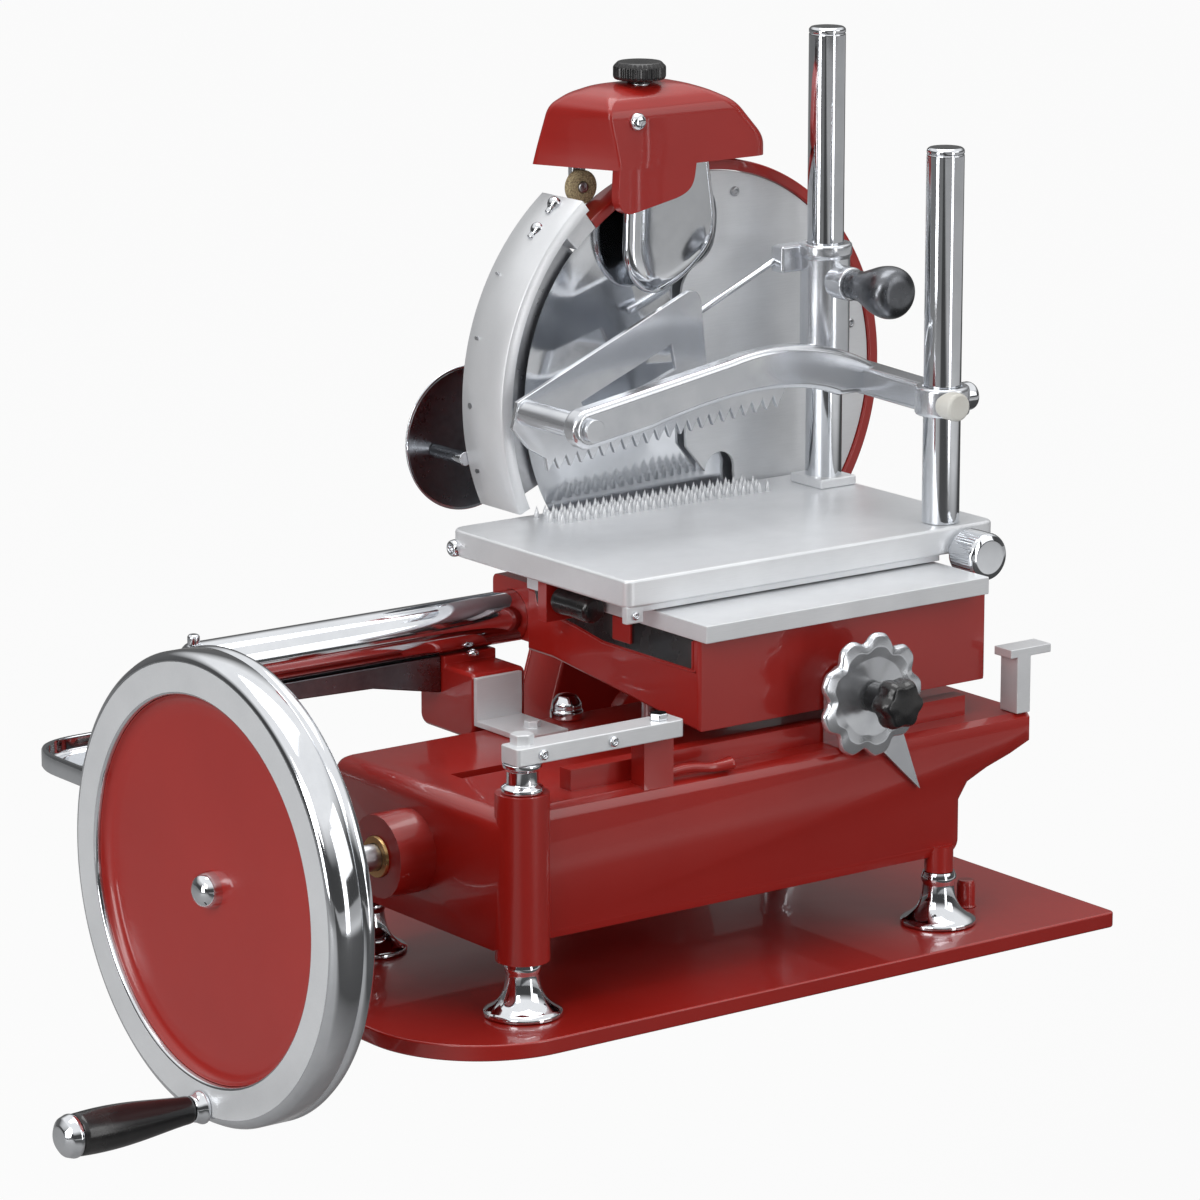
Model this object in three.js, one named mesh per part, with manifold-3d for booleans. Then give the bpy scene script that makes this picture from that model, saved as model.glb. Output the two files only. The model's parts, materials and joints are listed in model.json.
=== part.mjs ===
// A hand cranked flywheel meat slicer, in millimetres, with +Z up.
// X runs along the machine, with the flywheel at the low end.
// Y runs from the operator's side to the blade, and the blade faces low Y.
// The origin is the middle of the base plate's underside.

import * as THREE from 'three';
import { mergeVertices } from 'three/addons/utils/BufferGeometryUtils.js';
import Module from 'manifold-3d';

const wasm = await Module();
wasm.setup();

// Clearances

const seatGap = 0.3;          // between two faces that rest on each other
const runningGap = 0.35;      // round a shaft in its bore

// Base plate and feet

const plateLength = 561;
const plateDepth = 400;
const plateThickness = 11;
const plateCornerRadius = 85;
const footHeight = 37;
const footBaseRadius = 26;
const footNeckRadius = 11;
const footFrontY = -146;
const footRearY = 32;
const footLeftX = -184;
const footRightX = 166;

// Main body casting

const bodyLeft = -204;
const bodyRight = 184;
const bodyFront = -150;
const bodyBack = 46;
const bodyBottom = 56;
const bodyTop = 147;
const bodyWall = 6;
const bodyEdgeRadius = 9;
const flangeRight = 247;
const flangeFlareStart = 95;
const flangeThickness = 21;
const columnRadius = 18;
const footBossRadius = 10;
const frontColumnTop = 160;
const guideRidgeTop = 161;
const slotWidth = 13;

// Flywheel and crank handle

const wheelCentreY = -50;
const wheelCentreZ = 103;
const wheelFace = -369;
const wheelRadius = 155;
const rimWidth = 31;
const rimFaceWidth = 23;
const discRecess = 9;
const discThickness = 8;
const wheelSegments = 32;
const hubRadius = 26;
const hubLength = 52;
const mainShaftRadius = 9;
const noseRadius = 7;
const noseLength = 9;
const bearingBossRadius = 28;
const bearingBossLength = 28;
const bushWall = 5;
const handleInset = 11;       // from the wheel's edge to the handle's axis
const handleRadius = wheelRadius - handleInset;
const handlePinRadius = 5;
const gripStart = 10;
const gripLength = 86;
const gripRadius = 14;

// Bevel gears, crank disc and connecting rod

const crankCentreX = 60;
const crankRadius = 75;
const crankDiscRadius = 83;
const crankDiscLift = 3.5;
const crankDiscThickness = 3.5;
const crankPinRadius = 6;
const rodLength = 145;
const rodThickness = 5.5;
const rodEyeRadius = 11;
const lugPinRadius = 5;
const pinionTeeth = 12;
const crownTeeth = 24;
const bevelModule = 3.3;
const mitreTeeth = 12;
const mitreModule = 2.7;
const crossShaftX = 125;
const crossShaftRadius = 8;
const strokeLength = 2 * crankRadius;

// Chain drive to the blade

const chainPitch = 12.7;
const drivingSprocketTeeth = 28;
const bladeSprocketTeeth = 12;
const chainThickness = 8;
const chainWidth = 6;
const sprocketThickness = 5;

// Blade, ring, guard and cover plate

const bladeCentreX = 165;
const bladeCentreZ = 345;
const bladeRadius = 150;
const bladeFront = 127;
const bladeThickness = 7;
const bladeShaftRadius = 10;
const bladeClearance = 2;     // between the blade's edge and its ring
const ringWidth = 8;
const ringInner = bladeRadius + bladeClearance;
const ringOuter = ringInner + ringWidth;
const ringFront = 119;
const ringDepth = 22;
const guardStandOff = 20;     // from the ring's edge to the guard's
const guardRadius = ringOuter + guardStandOff;
const guardWall = 3;
const guardDepth = 48;
const guardFront = 112;
const guardTopAngle = 128;
const guardFootClearance = 2; // above the meat table
const coverFront = 121;
const coverThickness = 3;
const caseFront = 146;
const caseDepth = 38;
const caseWall = 5;

// Slide rail and carriage

const railRadius = 18;
const railY = 95;
const railZ = 207;
const railLeft = -276;
const railRight = 246;
const carriageLeft = -25;
const carriageRight = 223;
const carriageFront = -125;
const carriageTop = 233;
const carriageWall = 5;
const carriageFrontBottom = 170;
const carriageBackBottom = 188;
const slidewayThickness = 12;
const slidewayFront = -138;
const gripX = -40;
const gripZ = 237;

// Meat table, posts and feed screw

const tableLeft = -57;
const tableRight = 262;
const tableFront = -88;
const tableBack = 117;
const tableTop = 270;
const tableThickness = 19;
const spikeHeight = 9;
const spikeRows = 3;
const spikesPerRow = 14;
const postRadius = 13;
const frontPostX = 227;
const frontPostY = -70;
const frontPostTop = 531;
const rearPostX = 242;
const rearPostY = 78;
const rearPostTop = 597;
const feedScrewX = 233;
const feedScrewZ = 252;
const feedScrewRadius = 5;
const feedKnobRadius = 16.5;
const feedKnobLength = 28;

// Thickness dial

const dialX = 95;
const dialZ = 184;
const dialRadius = 43;
const dialLobes = 9;
const dialThickness = 7;
const dialBack = -154;
const dialStemRadius = 6;
const dialKnobRadius = 18;
const dialKnobLength = 34;
const dialHeadLength = 17;
const dialNeckRadius = 11;

// Meat clamp

const sleeveRadius = 19;
const sleeveBottom = 352;
const sleeveTop = 444;
const armThickness = 16;
const armY = 20;
const presserY = 88;
const presserThickness = 4;
const presserPinX = -12;
const presserPinZ = 350;
const combTeeth = 22;
const combStart = 4;
const combEnd = 214;
const combBottom = 306;
const combToothHeight = 10;
const combSlope = 0.11;
const tieRodY = 94.5;
const clampKnobZ = 418;

// Sharpener

const hoodLeft = 46;
const hoodRight = 207;
const hoodFront = 98.5;
const hoodBack = 164;
const hoodHeight = 56;
const hoodShoulder = 41;      // height of the hood's upright sides
const hoodBottom = bladeCentreZ + ringOuter + 2;
const hoodTop = hoodBottom + hoodHeight;
const hoodWall = 9;
const stemX = 165;
const stemY = 153;
const stemRadius = 7;
const knobStemX = 112;
const knobStemY = 124;
const sharpenerKnobBase = hoodTop + seatGap;
const stoneX = 73;
const stoneZ = hoodBottom - 15.5;
const stoneRadius = 12;
const stoneFront = 137;
const stoneThickness = 6;
const stonePinRadius = 4;

const group = new THREE.Group();
group.name = 'hand_crank_meat_slicer';

// Finishes

const finishes = {
  redPaint: { color: 0x8f2420, roughness: 0.22, metalness: 0.0 },
  chrome: { color: 0xcfd3d6, roughness: 0.08, metalness: 1.0 },
  steel: { color: 0xa9adb0, roughness: 0.3, metalness: 1.0 },
  castAluminium: { color: 0xc9cdd0, roughness: 0.38, metalness: 0.9 },
  plateAluminium: { color: 0xd4d7d9, roughness: 0.45, metalness: 0.8 },
  blackGrip: { color: 0x17181a, roughness: 0.35, metalness: 0.0 },
  bronze: { color: 0xa9783f, roughness: 0.4, metalness: 1.0 },
  blackSteel: { color: 0x242628, roughness: 0.5, metalness: 0.6 },
  abrasive: { color: 0xb9a67e, roughness: 0.9, metalness: 0.0 },
};

// Helpers for closed geometry

/** Leaves only the position attribute, with shared vertices merged. */
function bare(geometry) {
  const plain = geometry.clone();
  plain.deleteAttribute('normal');
  plain.deleteAttribute('uv');
  return mergeVertices(plain, 1e-3);
}

/** Six times the signed volume that a closed, merged geometry encloses. */
function signedVolume(geometry) {
  const position = geometry.attributes.position;
  const index = geometry.index;
  const a = new THREE.Vector3();
  const b = new THREE.Vector3();
  const c = new THREE.Vector3();
  let sum = 0;
  for (let i = 0; i < index.count; i += 3) {
    a.fromBufferAttribute(position, index.getX(i));
    b.fromBufferAttribute(position, index.getX(i + 1));
    c.fromBufferAttribute(position, index.getX(i + 2));
    sum += a.dot(b.cross(c));
  }
  return sum;
}

/** Turns a closed geometry's faces outwards where they point in. */
function facingOut(geometry) {
  const closed = bare(geometry);
  if (signedVolume(closed) > 0) return closed;
  const index = closed.index;
  for (let i = 0; i < index.count; i += 3) {
    const second = index.getX(i + 1);
    index.setX(i + 1, index.getX(i + 2));
    index.setX(i + 2, second);
  }
  return closed;
}

/** Makes a Manifold solid of a closed geometry. */
function toSolid(geometry) {
  const closed = facingOut(geometry);
  return new wasm.Manifold(new wasm.Mesh({
    numProp: 3,
    vertProperties: new Float32Array(closed.attributes.position.array),
    triVerts: new Uint32Array(closed.index.array),
  }));
}

/** Makes a BufferGeometry of a Manifold solid. */
function toGeometry(solid) {
  const mesh = solid.getMesh();
  const geometry = new THREE.BufferGeometry();
  geometry.setAttribute('position', new THREE.BufferAttribute(mesh.vertProperties, 3));
  geometry.setIndex(new THREE.BufferAttribute(mesh.triVerts, 1));
  return geometry;
}

/** Cuts the tools away from a geometry. */
function cut(geometry, ...tools) {
  let solid = toSolid(geometry);
  for (const tool of tools) solid = solid.subtract(toSolid(tool));
  return toGeometry(solid);
}

/** Joins geometries that overlap into one. */
function join(first, ...others) {
  let solid = toSolid(first);
  for (const other of others) solid = solid.add(toSolid(other));
  return toGeometry(solid);
}

const alongX = new THREE.Matrix4().makeBasis(
  new THREE.Vector3(0, 1, 0), new THREE.Vector3(0, 0, 1), new THREE.Vector3(1, 0, 0));
const alongY = new THREE.Matrix4().makeBasis(
  new THREE.Vector3(1, 0, 0), new THREE.Vector3(0, 0, 1), new THREE.Vector3(0, -1, 0));

/**
 * Extrudes an outline between two places on an axis. The outline lies in YZ for 'x', in XZ
 * for 'y' and in XY for 'z'. edge is a rounding that stays inside the outline, in edgeSteps.
 */
function prism(shape, axis, from, to, edge = 0, curveSegments = 6, edgeSteps = 1) {
  const geometry = new THREE.ExtrudeGeometry(shape, {
    depth: to - from - 2 * edge,
    bevelEnabled: edge > 0,
    bevelThickness: edge,
    bevelSize: edge,
    bevelOffset: -edge,
    bevelSegments: edgeSteps,
    curveSegments,
  });
  geometry.translate(0, 0, edge);
  if (axis === 'x') geometry.applyMatrix4(alongX).translate(from, 0, 0);
  if (axis === 'y') geometry.applyMatrix4(alongY).translate(0, to, 0);
  if (axis === 'z') geometry.translate(0, 0, from);
  return geometry;
}

/** A box between two corners. */
function block(x0, x1, y0, y1, z0, z1) {
  const geometry = new THREE.BoxGeometry(x1 - x0, y1 - y0, z1 - z0);
  return geometry.translate((x0 + x1) / 2, (y0 + y1) / 2, (z0 + z1) / 2);
}

/** Turns a profile of [radius, place] pairs about an axis through the origin. */
function turned(profile, axis, segments = 14) {
  const points = profile.map(([radius, place]) => new THREE.Vector2(radius, place));
  const geometry = new THREE.LatheGeometry(points, segments);
  if (axis === 'x') geometry.rotateZ(-Math.PI / 2);
  if (axis === 'z') geometry.rotateX(Math.PI / 2);
  return facingOut(geometry);
}

/** A round bar on an axis through (u, v), which are the other two coordinates in order. */
function bar(axis, radius, from, to, u, v, segments = 14) {
  const geometry = turned([[0, from], [radius, from], [radius, to], [0, to]], axis, segments);
  if (axis === 'x') geometry.translate(0, u, v);
  if (axis === 'y') geometry.translate(u, 0, v);
  if (axis === 'z') geometry.translate(u, v, 0);
  return geometry;
}

/** Polygon outline from [u, v] pairs. */
function outline(points) {
  return new THREE.Shape(points.map(([u, v]) => new THREE.Vector2(u, v)));
}

/** Rounded rectangle between two corners, with a radius for each corner from low left, turning left. */
function roundedRectangle(u0, v0, u1, v1, radii) {
  const [lowLeft, lowRight, highRight, highLeft] = radii;
  const shape = new THREE.Shape();
  shape.moveTo(u0 + lowLeft, v0);
  shape.lineTo(u1 - lowRight, v0);
  shape.absarc(u1 - lowRight, v0 + lowRight, lowRight, -Math.PI / 2, 0, false);
  shape.lineTo(u1, v1 - highRight);
  shape.absarc(u1 - highRight, v1 - highRight, highRight, 0, Math.PI / 2, false);
  shape.lineTo(u0 + highLeft, v1);
  shape.absarc(u0 + highLeft, v1 - highLeft, highLeft, Math.PI / 2, Math.PI, false);
  shape.lineTo(u0, v0 + lowLeft);
  shape.absarc(u0 + lowLeft, v0 + lowLeft, lowLeft, Math.PI, Math.PI * 1.5, false);
  return shape;
}

/** Joins two closed rings of equal length, and any between, into a solid with flat ends. */
function lofted(rings) {
  const count = rings[0].length;
  const vertices = rings.flat().flatMap((point) => [point.x, point.y, point.z]);
  const triangles = [];
  for (let ring = 0; ring < rings.length - 1; ring += 1) {
    for (let i = 0; i < count; i += 1) {
      const a = ring * count + i;
      const b = ring * count + (i + 1) % count;
      triangles.push(a, b, b + count, a, b + count, a + count);
    }
  }
  const flat = rings[0].map((point) => new THREE.Vector2(point.x, point.y));
  const last = (rings.length - 1) * count;
  for (const [i, j, k] of THREE.ShapeUtils.triangulateShape(flat, [])) {
    triangles.push(k, j, i, last + i, last + j, last + k);
  }
  const geometry = new THREE.BufferGeometry();
  geometry.setAttribute('position', new THREE.Float32BufferAttribute(vertices, 3));
  geometry.setIndex(triangles);
  return geometry;
}

/** Adds one named mesh to the machine. */
function add(name, geometry, finish, place = [0, 0, 0]) {
  const closed = facingOut(geometry);
  const flat = closed.toNonIndexed();
  flat.computeVertexNormals();
  const mesh = new THREE.Mesh(flat, new THREE.MeshStandardMaterial(finishes[finish]));
  mesh.name = name;
  mesh.position.set(...place);
  group.add(mesh);
}

const degrees = Math.PI / 180;

// Base plate and feet

const feet = [
  ['foot_front_left', footLeftX, footFrontY],
  ['foot_front_right', footRightX, footFrontY],
  ['foot_rear_left', footLeftX, footRearY],
  ['foot_rear_right', footRightX, footRearY],
];

function makeBasePlate() {
  const halfLength = plateLength / 2;
  const halfDepth = plateDepth / 2;
  const sharp = 4;
  const shape = roundedRectangle(-halfLength, -halfDepth, halfLength, halfDepth,
    [plateCornerRadius, sharp, sharp, plateCornerRadius]);
  add('base_plate', prism(shape, 'z', 0, plateThickness, 0, 6), 'redPaint');
}

function makeFeet() {
  const top = footHeight - seatGap;
  const flareTop = 0.75 * footHeight;
  const rimHeight = 3;
  const profile = [[0, seatGap], [footBaseRadius, seatGap]];
  const steps = 4;
  for (let i = 0; i <= steps; i += 1) {
    const share = i / steps;
    const flare = Math.exp(-3.2 * share);
    profile.push([footNeckRadius + (footBaseRadius - footNeckRadius) * flare,
      rimHeight + (flareTop - rimHeight) * share]);
  }
  profile.push([footNeckRadius, top], [0, top]);
  for (const [name, x, y] of feet) {
    add(name, turned(profile, 'z'), 'chrome', [x, y, plateThickness]);
  }
}

// Main body casting

const stopBarBottom = 180.3;
const lugX = crankCentreX + crankRadius - rodLength;      // the drive lug, with the carriage at rest

/** Side outline of the casting, taken in by a wall. */
function bodyOutline(inset) {
  const left = bodyLeft + inset;
  const right = bodyRight - inset;
  const bottom = inset > 0 ? bodyBottom - 10 : bodyBottom;
  const top = bodyTop - inset;
  const flange = inset > 0 ? right : flangeRight;
  const cornerRadius = Math.max(12 - inset, 3);
  const lowRadius = 12;
  const shape = new THREE.Shape();
  shape.moveTo(left, bottom);
  if (inset > 0) {
    shape.lineTo(right, bottom);
  } else {
    shape.lineTo(right - lowRadius, bottom);
    shape.absarc(right - lowRadius, bottom + lowRadius, lowRadius, -Math.PI / 2, 0, false);
    shape.lineTo(right, flangeFlareStart);
    shape.bezierCurveTo(right, flangeFlareStart + 16, flange - 22, top - flangeThickness - 12,
      flange, top - flangeThickness);
  }
  shape.lineTo(flange, top);
  shape.lineTo(left + cornerRadius, top);
  shape.absarc(left + cornerRadius, top - cornerRadius, cornerRadius, Math.PI / 2, Math.PI, false);
  return shape;
}

function makeMainBody() {
  const shell = prism(bodyOutline(0), 'y', bodyFront, bodyBack, bodyEdgeRadius, 4, 2);
  const columnBottom = plateThickness + footHeight;
  const columns = feet.map(([, x, y]) => {
    if (x < 0 && y < 0) return bar('z', columnRadius, columnBottom, frontColumnTop, x, y, 18);
    const top = y < 0 ? bodyBottom + 10 : bodyTop - 3;
    return bar('z', footBossRadius, columnBottom, top, x, y, 12);
  });
  const boss = bar('x', bearingBossRadius, bodyLeft - bearingBossLength, bodyLeft + bodyWall,
    wheelCentreY, wheelCentreZ, 20);
  const barPad = block(-86, -62, bodyFront + 4, bodyFront + 18, bodyTop - 4, stopBarBottom - seatGap);
  const ridge = block(-130, 205, bodyFront + 25, bodyFront + 37, bodyTop - 2, guideRidgeTop);
  const cavity = prism(bodyOutline(bodyWall), 'y', bodyFront + bodyWall, bodyBack - bodyWall, 0, 2);
  const shaftBore = bar('x', mainShaftRadius + bushWall + seatGap, bodyLeft - 40, bodyLeft + 30,
    wheelCentreY, wheelCentreZ);
  const crossBore = bar('y', crossShaftRadius + 4, bodyBack - 20, bodyBack + 20,
    crossShaftX, wheelCentreZ);
  const slotEnd = slotWidth / 2 + 2;
  const slot = block(lugX - strokeLength - slotEnd, lugX + slotEnd,
    wheelCentreY - slotWidth / 2, wheelCentreY + slotWidth / 2, bodyTop - 20, bodyTop + 20);
  const whole = join(cut(shell, cavity), ...columns, boss, barPad, ridge);
  add('main_body', cut(whole, shaftBore, crossBore, slot), 'redPaint');
}

// Levels of the drive inside the body

const pinionRadius = bevelModule * pinionTeeth / 2;
const crownRadius = bevelModule * crownTeeth / 2;
const mitreRadius = mitreModule * mitreTeeth / 2;
const crownPlane = wheelCentreZ + pinionRadius;
const discBottom = crownPlane + crankDiscLift;
const discTop = discBottom + crankDiscThickness;
const rodBottom = discTop + 4;
const faceShare = 0.75;       // how far a bevel tooth reaches towards the apex

/** Tooth outline of a bevel gear: root, two tips and root again for each tooth. */
function gearOutline(teeth, pitchRadius, toothModule, coneHeight, turn) {
  const slant = Math.hypot(pitchRadius, coneHeight) / coneHeight;
  const tip = pitchRadius + 0.8 * toothModule * slant;
  const root = pitchRadius - 0.9 * toothModule * slant;
  const pitchAngle = 2 * Math.PI / teeth;
  const rootHalf = 0.29 * pitchAngle;
  const tipHalf = 0.11 * pitchAngle;
  const points = [];
  for (let tooth = 0; tooth < teeth; tooth += 1) {
    const middle = tooth * pitchAngle + turn;
    points.push([root, middle - rootHalf], [tip, middle - tipHalf]);
    points.push([tip, middle + tipHalf], [root, middle + rootHalf]);
  }
  return points;
}

/** Straight bevel gear with its large end at z = 0 and its apex at z = coneHeight. */
function bevelGear(teeth, pitchRadius, toothModule, coneHeight, turn) {
  const points = gearOutline(teeth, pitchRadius, toothModule, coneHeight, turn);
  const ringAt = (share) => points.map(([radius, angle]) => new THREE.Vector3(
    radius * share * Math.cos(angle), radius * share * Math.sin(angle), coneHeight * (1 - share)));
  return lofted([ringAt(1), ringAt(faceShare)]);
}

function makeMainShaft() {
  const start = wheelFace + discRecess + seatGap;
  const end = crossShaftX - mitreRadius * faceShare + 2;
  const shoulder = start + noseLength;
  const profile = [[0, start], [noseRadius, start], [noseRadius, shoulder], [mainShaftRadius, shoulder],
    [mainShaftRadius, end - 1], [mainShaftRadius - 1, end], [0, end]];
  add('main_shaft', turned(profile, 'x'), 'steel', [0, wheelCentreY, wheelCentreZ]);

  const bushStart = bodyLeft - bearingBossLength - 2;
  const bush = [[mainShaftRadius + runningGap, bushStart], [mainShaftRadius + bushWall, bushStart],
    [mainShaftRadius + bushWall, bodyLeft + bodyWall], [mainShaftRadius + runningGap, bodyLeft + bodyWall],
    [mainShaftRadius + runningGap, bushStart]];
  add('shaft_bush', turned(bush, 'x'), 'bronze', [0, wheelCentreY, wheelCentreZ]);
}

function makeShaftGears() {
  const bore = mainShaftRadius + seatGap;
  const hubLengthBehind = 10;
  const towardsApex = new THREE.Matrix4().makeRotationY(Math.PI / 2);

  const pinion = bevelGear(pinionTeeth, pinionRadius, bevelModule, crownRadius, 0);
  pinion.applyMatrix4(towardsApex);
  const pinionHub = bar('x', mainShaftRadius + 5, -hubLengthBehind, 1, 0, 0);
  const pinionBore = bar('x', bore, -hubLengthBehind - 1, crownRadius, 0, 0);
  add('crank_pinion', cut(join(pinion, pinionHub), pinionBore), 'steel',
    [crankCentreX - crownRadius, wheelCentreY, wheelCentreZ]);

  const mitre = bevelGear(mitreTeeth, mitreRadius, mitreModule, mitreRadius, 0);
  mitre.applyMatrix4(towardsApex);
  const mitreHub = bar('x', mainShaftRadius + 2.5, -hubLengthBehind, 1, 0, 0);
  const mitreBore = bar('x', bore, -hubLengthBehind - 1, mitreRadius, 0, 0);
  add('shaft_mitre_gear', cut(join(mitre, mitreHub), mitreBore), 'steel',
    [crossShaftX - mitreRadius, wheelCentreY, wheelCentreZ]);
}

function makeCrossShaft() {
  const start = wheelCentreY + mitreRadius * (1 - faceShare) + 1;
  const sprocketPlace = caseFront + caseWall + 8;
  const end = sprocketPlace + sprocketThickness + 8;
  add('cross_shaft', bar('y', crossShaftRadius, start, end, 0, 0), 'steel',
    [crossShaftX, 0, wheelCentreZ]);

  const halfPitch = Math.PI / mitreTeeth;
  const gear = bevelGear(mitreTeeth, mitreRadius, mitreModule, mitreRadius, halfPitch);
  gear.applyMatrix4(new THREE.Matrix4().makeRotationX(Math.PI / 2));
  const hub = bar('y', crossShaftRadius + 3, -1, 10, 0, 0);
  const bore = bar('y', crossShaftRadius + seatGap, -mitreRadius, 11, 0, 0);
  add('cross_mitre_gear', cut(join(gear, hub), bore), 'steel',
    [crossShaftX, wheelCentreY + mitreRadius, wheelCentreZ]);

  add('driving_sprocket', sprocket(drivingSprocketTeeth, crossShaftRadius), 'steel',
    [crossShaftX, sprocketPlace, wheelCentreZ]);
}

/** Pitch radius of a chain wheel. */
function sprocketRadius(teeth) {
  return chainPitch / (2 * Math.sin(Math.PI / teeth));
}

/** Chain wheel on a Y axis, with its hub towards low Y. */
function sprocket(teeth, shaftRadius) {
  const radius = sprocketRadius(teeth);
  const pitchAngle = 2 * Math.PI / teeth;
  const points = [];
  for (let tooth = 0; tooth < teeth; tooth += 1) {
    const middle = tooth * pitchAngle;
    for (const [reach, share] of [[-4, -0.5], [2, 0]]) {
      const angle = middle + share * pitchAngle;
      points.push([(radius + reach) * Math.cos(angle), (radius + reach) * Math.sin(angle)]);
    }
  }
  const wheel = prism(outline(points), 'y', 0, sprocketThickness);
  const hub = bar('y', shaftRadius + 5, -4, 1, 0, 0);
  const bore = bar('y', shaftRadius + seatGap, -5, sprocketThickness + 1, 0, 0);
  return cut(join(wheel, hub), bore);
}

/** Closed outline round two circles of a belt or chain, offset from their pitch radii. */
function loopOutline(offset, Maker = THREE.Shape) {
  const low = sprocketRadius(drivingSprocketTeeth) + offset;
  const high = sprocketRadius(bladeSprocketTeeth) + offset;
  const dx = bladeCentreX - crossShaftX;
  const dz = bladeCentreZ - wheelCentreZ;
  const lean = Math.atan2(dz, dx);
  const spread = Math.acos((low - high) / Math.hypot(dx, dz));
  const shape = new Maker();
  shape.absarc(crossShaftX, wheelCentreZ, low, lean + spread, lean - spread + 2 * Math.PI, false);
  shape.absarc(bladeCentreX, bladeCentreZ, high, lean - spread, lean + spread, false);
  return shape;
}

function makeChainDrive() {
  const clearOfTeeth = 2.5;
  const place = caseFront + caseWall + 8 + (sprocketThickness - chainWidth) / 2;
  const chain = loopOutline(clearOfTeeth + chainThickness);
  chain.holes.push(loopOutline(clearOfTeeth, THREE.Path));
  add('drive_chain', prism(chain, 'y', place, place + chainWidth, 0, 8), 'blackSteel');
}

// Bridge inside the body, which carries the crank axle and the inner bearings

const axleRadius = 6;
const axleHubRadius = 11;
const bridgeTop = wheelCentreZ + mainShaftRadius + 4.5;

function makeBridge() {
  const front = bodyFront + bodyWall + seatGap;
  const back = bodyBack - bodyWall - seatGap;
  const bottom = 60;
  const floorThickness = 8;
  const floor = block(-12, 142, front, back, bottom, bottom + floorThickness);
  const strapHalf = 13;
  const strapThickness = bridgeTop - (wheelCentreZ + mainShaftRadius) - 0.8;
  const strap = block(crankCentreX - strapHalf, crankCentreX + strapHalf, -96, -4,
    bridgeTop - strapThickness, bridgeTop);
  const legs = [[-96, -88], [-12, -4]].map(([near, far]) => block(
    crankCentreX - strapHalf, crankCentreX + strapHalf, near, far, bottom, bridgeTop));
  const shaftWall = block(82, 92, -74, -26, bottom, wheelCentreZ + 13);
  const crossWall = block(crossShaftX - 16, crossShaftX + 16, 4, 14, bottom, wheelCentreZ + 13);
  const solid = join(floor, strap, ...legs, shaftWall, crossWall);
  const shaftHole = bar('x', mainShaftRadius + runningGap, 60, 110, wheelCentreY, wheelCentreZ);
  const crossHole = bar('y', crossShaftRadius + runningGap, -10, 30, crossShaftX, wheelCentreZ);
  const axleHole = bar('z', axleRadius + seatGap, bridgeTop - 10, bridgeTop + 1,
    crankCentreX, wheelCentreY);
  add('gear_bridge', cut(solid, shaftHole, crossHole, axleHole), 'castAluminium');

  const axleFoot = bridgeTop - strapThickness + seatGap;
  const axle = [[0, axleFoot], [axleRadius, axleFoot],
    [axleRadius, discTop + 0.6], [axleRadius + 3, discTop + 0.6], [axleRadius + 2, discTop + 3],
    [0, discTop + 3]];
  add('crank_axle', turned(axle, 'z'), 'steel', [crankCentreX, wheelCentreY, 0]);
}

function makeCrankDisc() {
  const halfPitch = Math.PI / crownTeeth;
  const crown = bevelGear(crownTeeth, crownRadius, bevelModule, pinionRadius, halfPitch);
  crown.applyMatrix4(new THREE.Matrix4().makeRotationX(Math.PI));
  const dish = bar('z', (crownRadius - 3 * bevelModule) * faceShare, -pinionRadius, 0, 0, 0);
  const spacerRadius = crownRadius - 3 * bevelModule;
  const spacer = bar('z', spacerRadius, -0.5, crankDiscLift + 1, 0, 0);
  const discLevel = discBottom - crownPlane;
  const disc = bar('z', crankDiscRadius, discLevel, discTop - crownPlane, 0, 0, 28);
  const hub = bar('z', axleHubRadius, bridgeTop + seatGap - crownPlane, 1, 0, 0);
  const pin = bar('z', crankPinRadius, discLevel + 1, rodBottom - crownPlane - seatGap, crankRadius, 0);
  const bore = bar('z', axleRadius + runningGap, -30, 20, 0, 0);
  add('crank_disc', cut(join(disc, spacer, cut(crown, dish), hub, pin), bore), 'steel',
    [crankCentreX, wheelCentreY, crownPlane]);
}

function makeConnectingRod() {
  const pinX = crankCentreX + crankRadius;
  const top = rodBottom + rodThickness;
  const beam = block(lugX, pinX, wheelCentreY - 7, wheelCentreY + 7, rodBottom, top);
  const eyes = [lugX, pinX].map((x) => bar('z', rodEyeRadius, rodBottom, top, x, wheelCentreY));
  const holes = [[lugX, lugPinRadius], [pinX, crankPinRadius]].map(([x, radius]) => bar('z',
    radius + runningGap, rodBottom - 1, top + 1, x, wheelCentreY));
  add('connecting_rod', cut(join(beam, ...eyes), ...holes), 'steel');
}

// Flywheel

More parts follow.
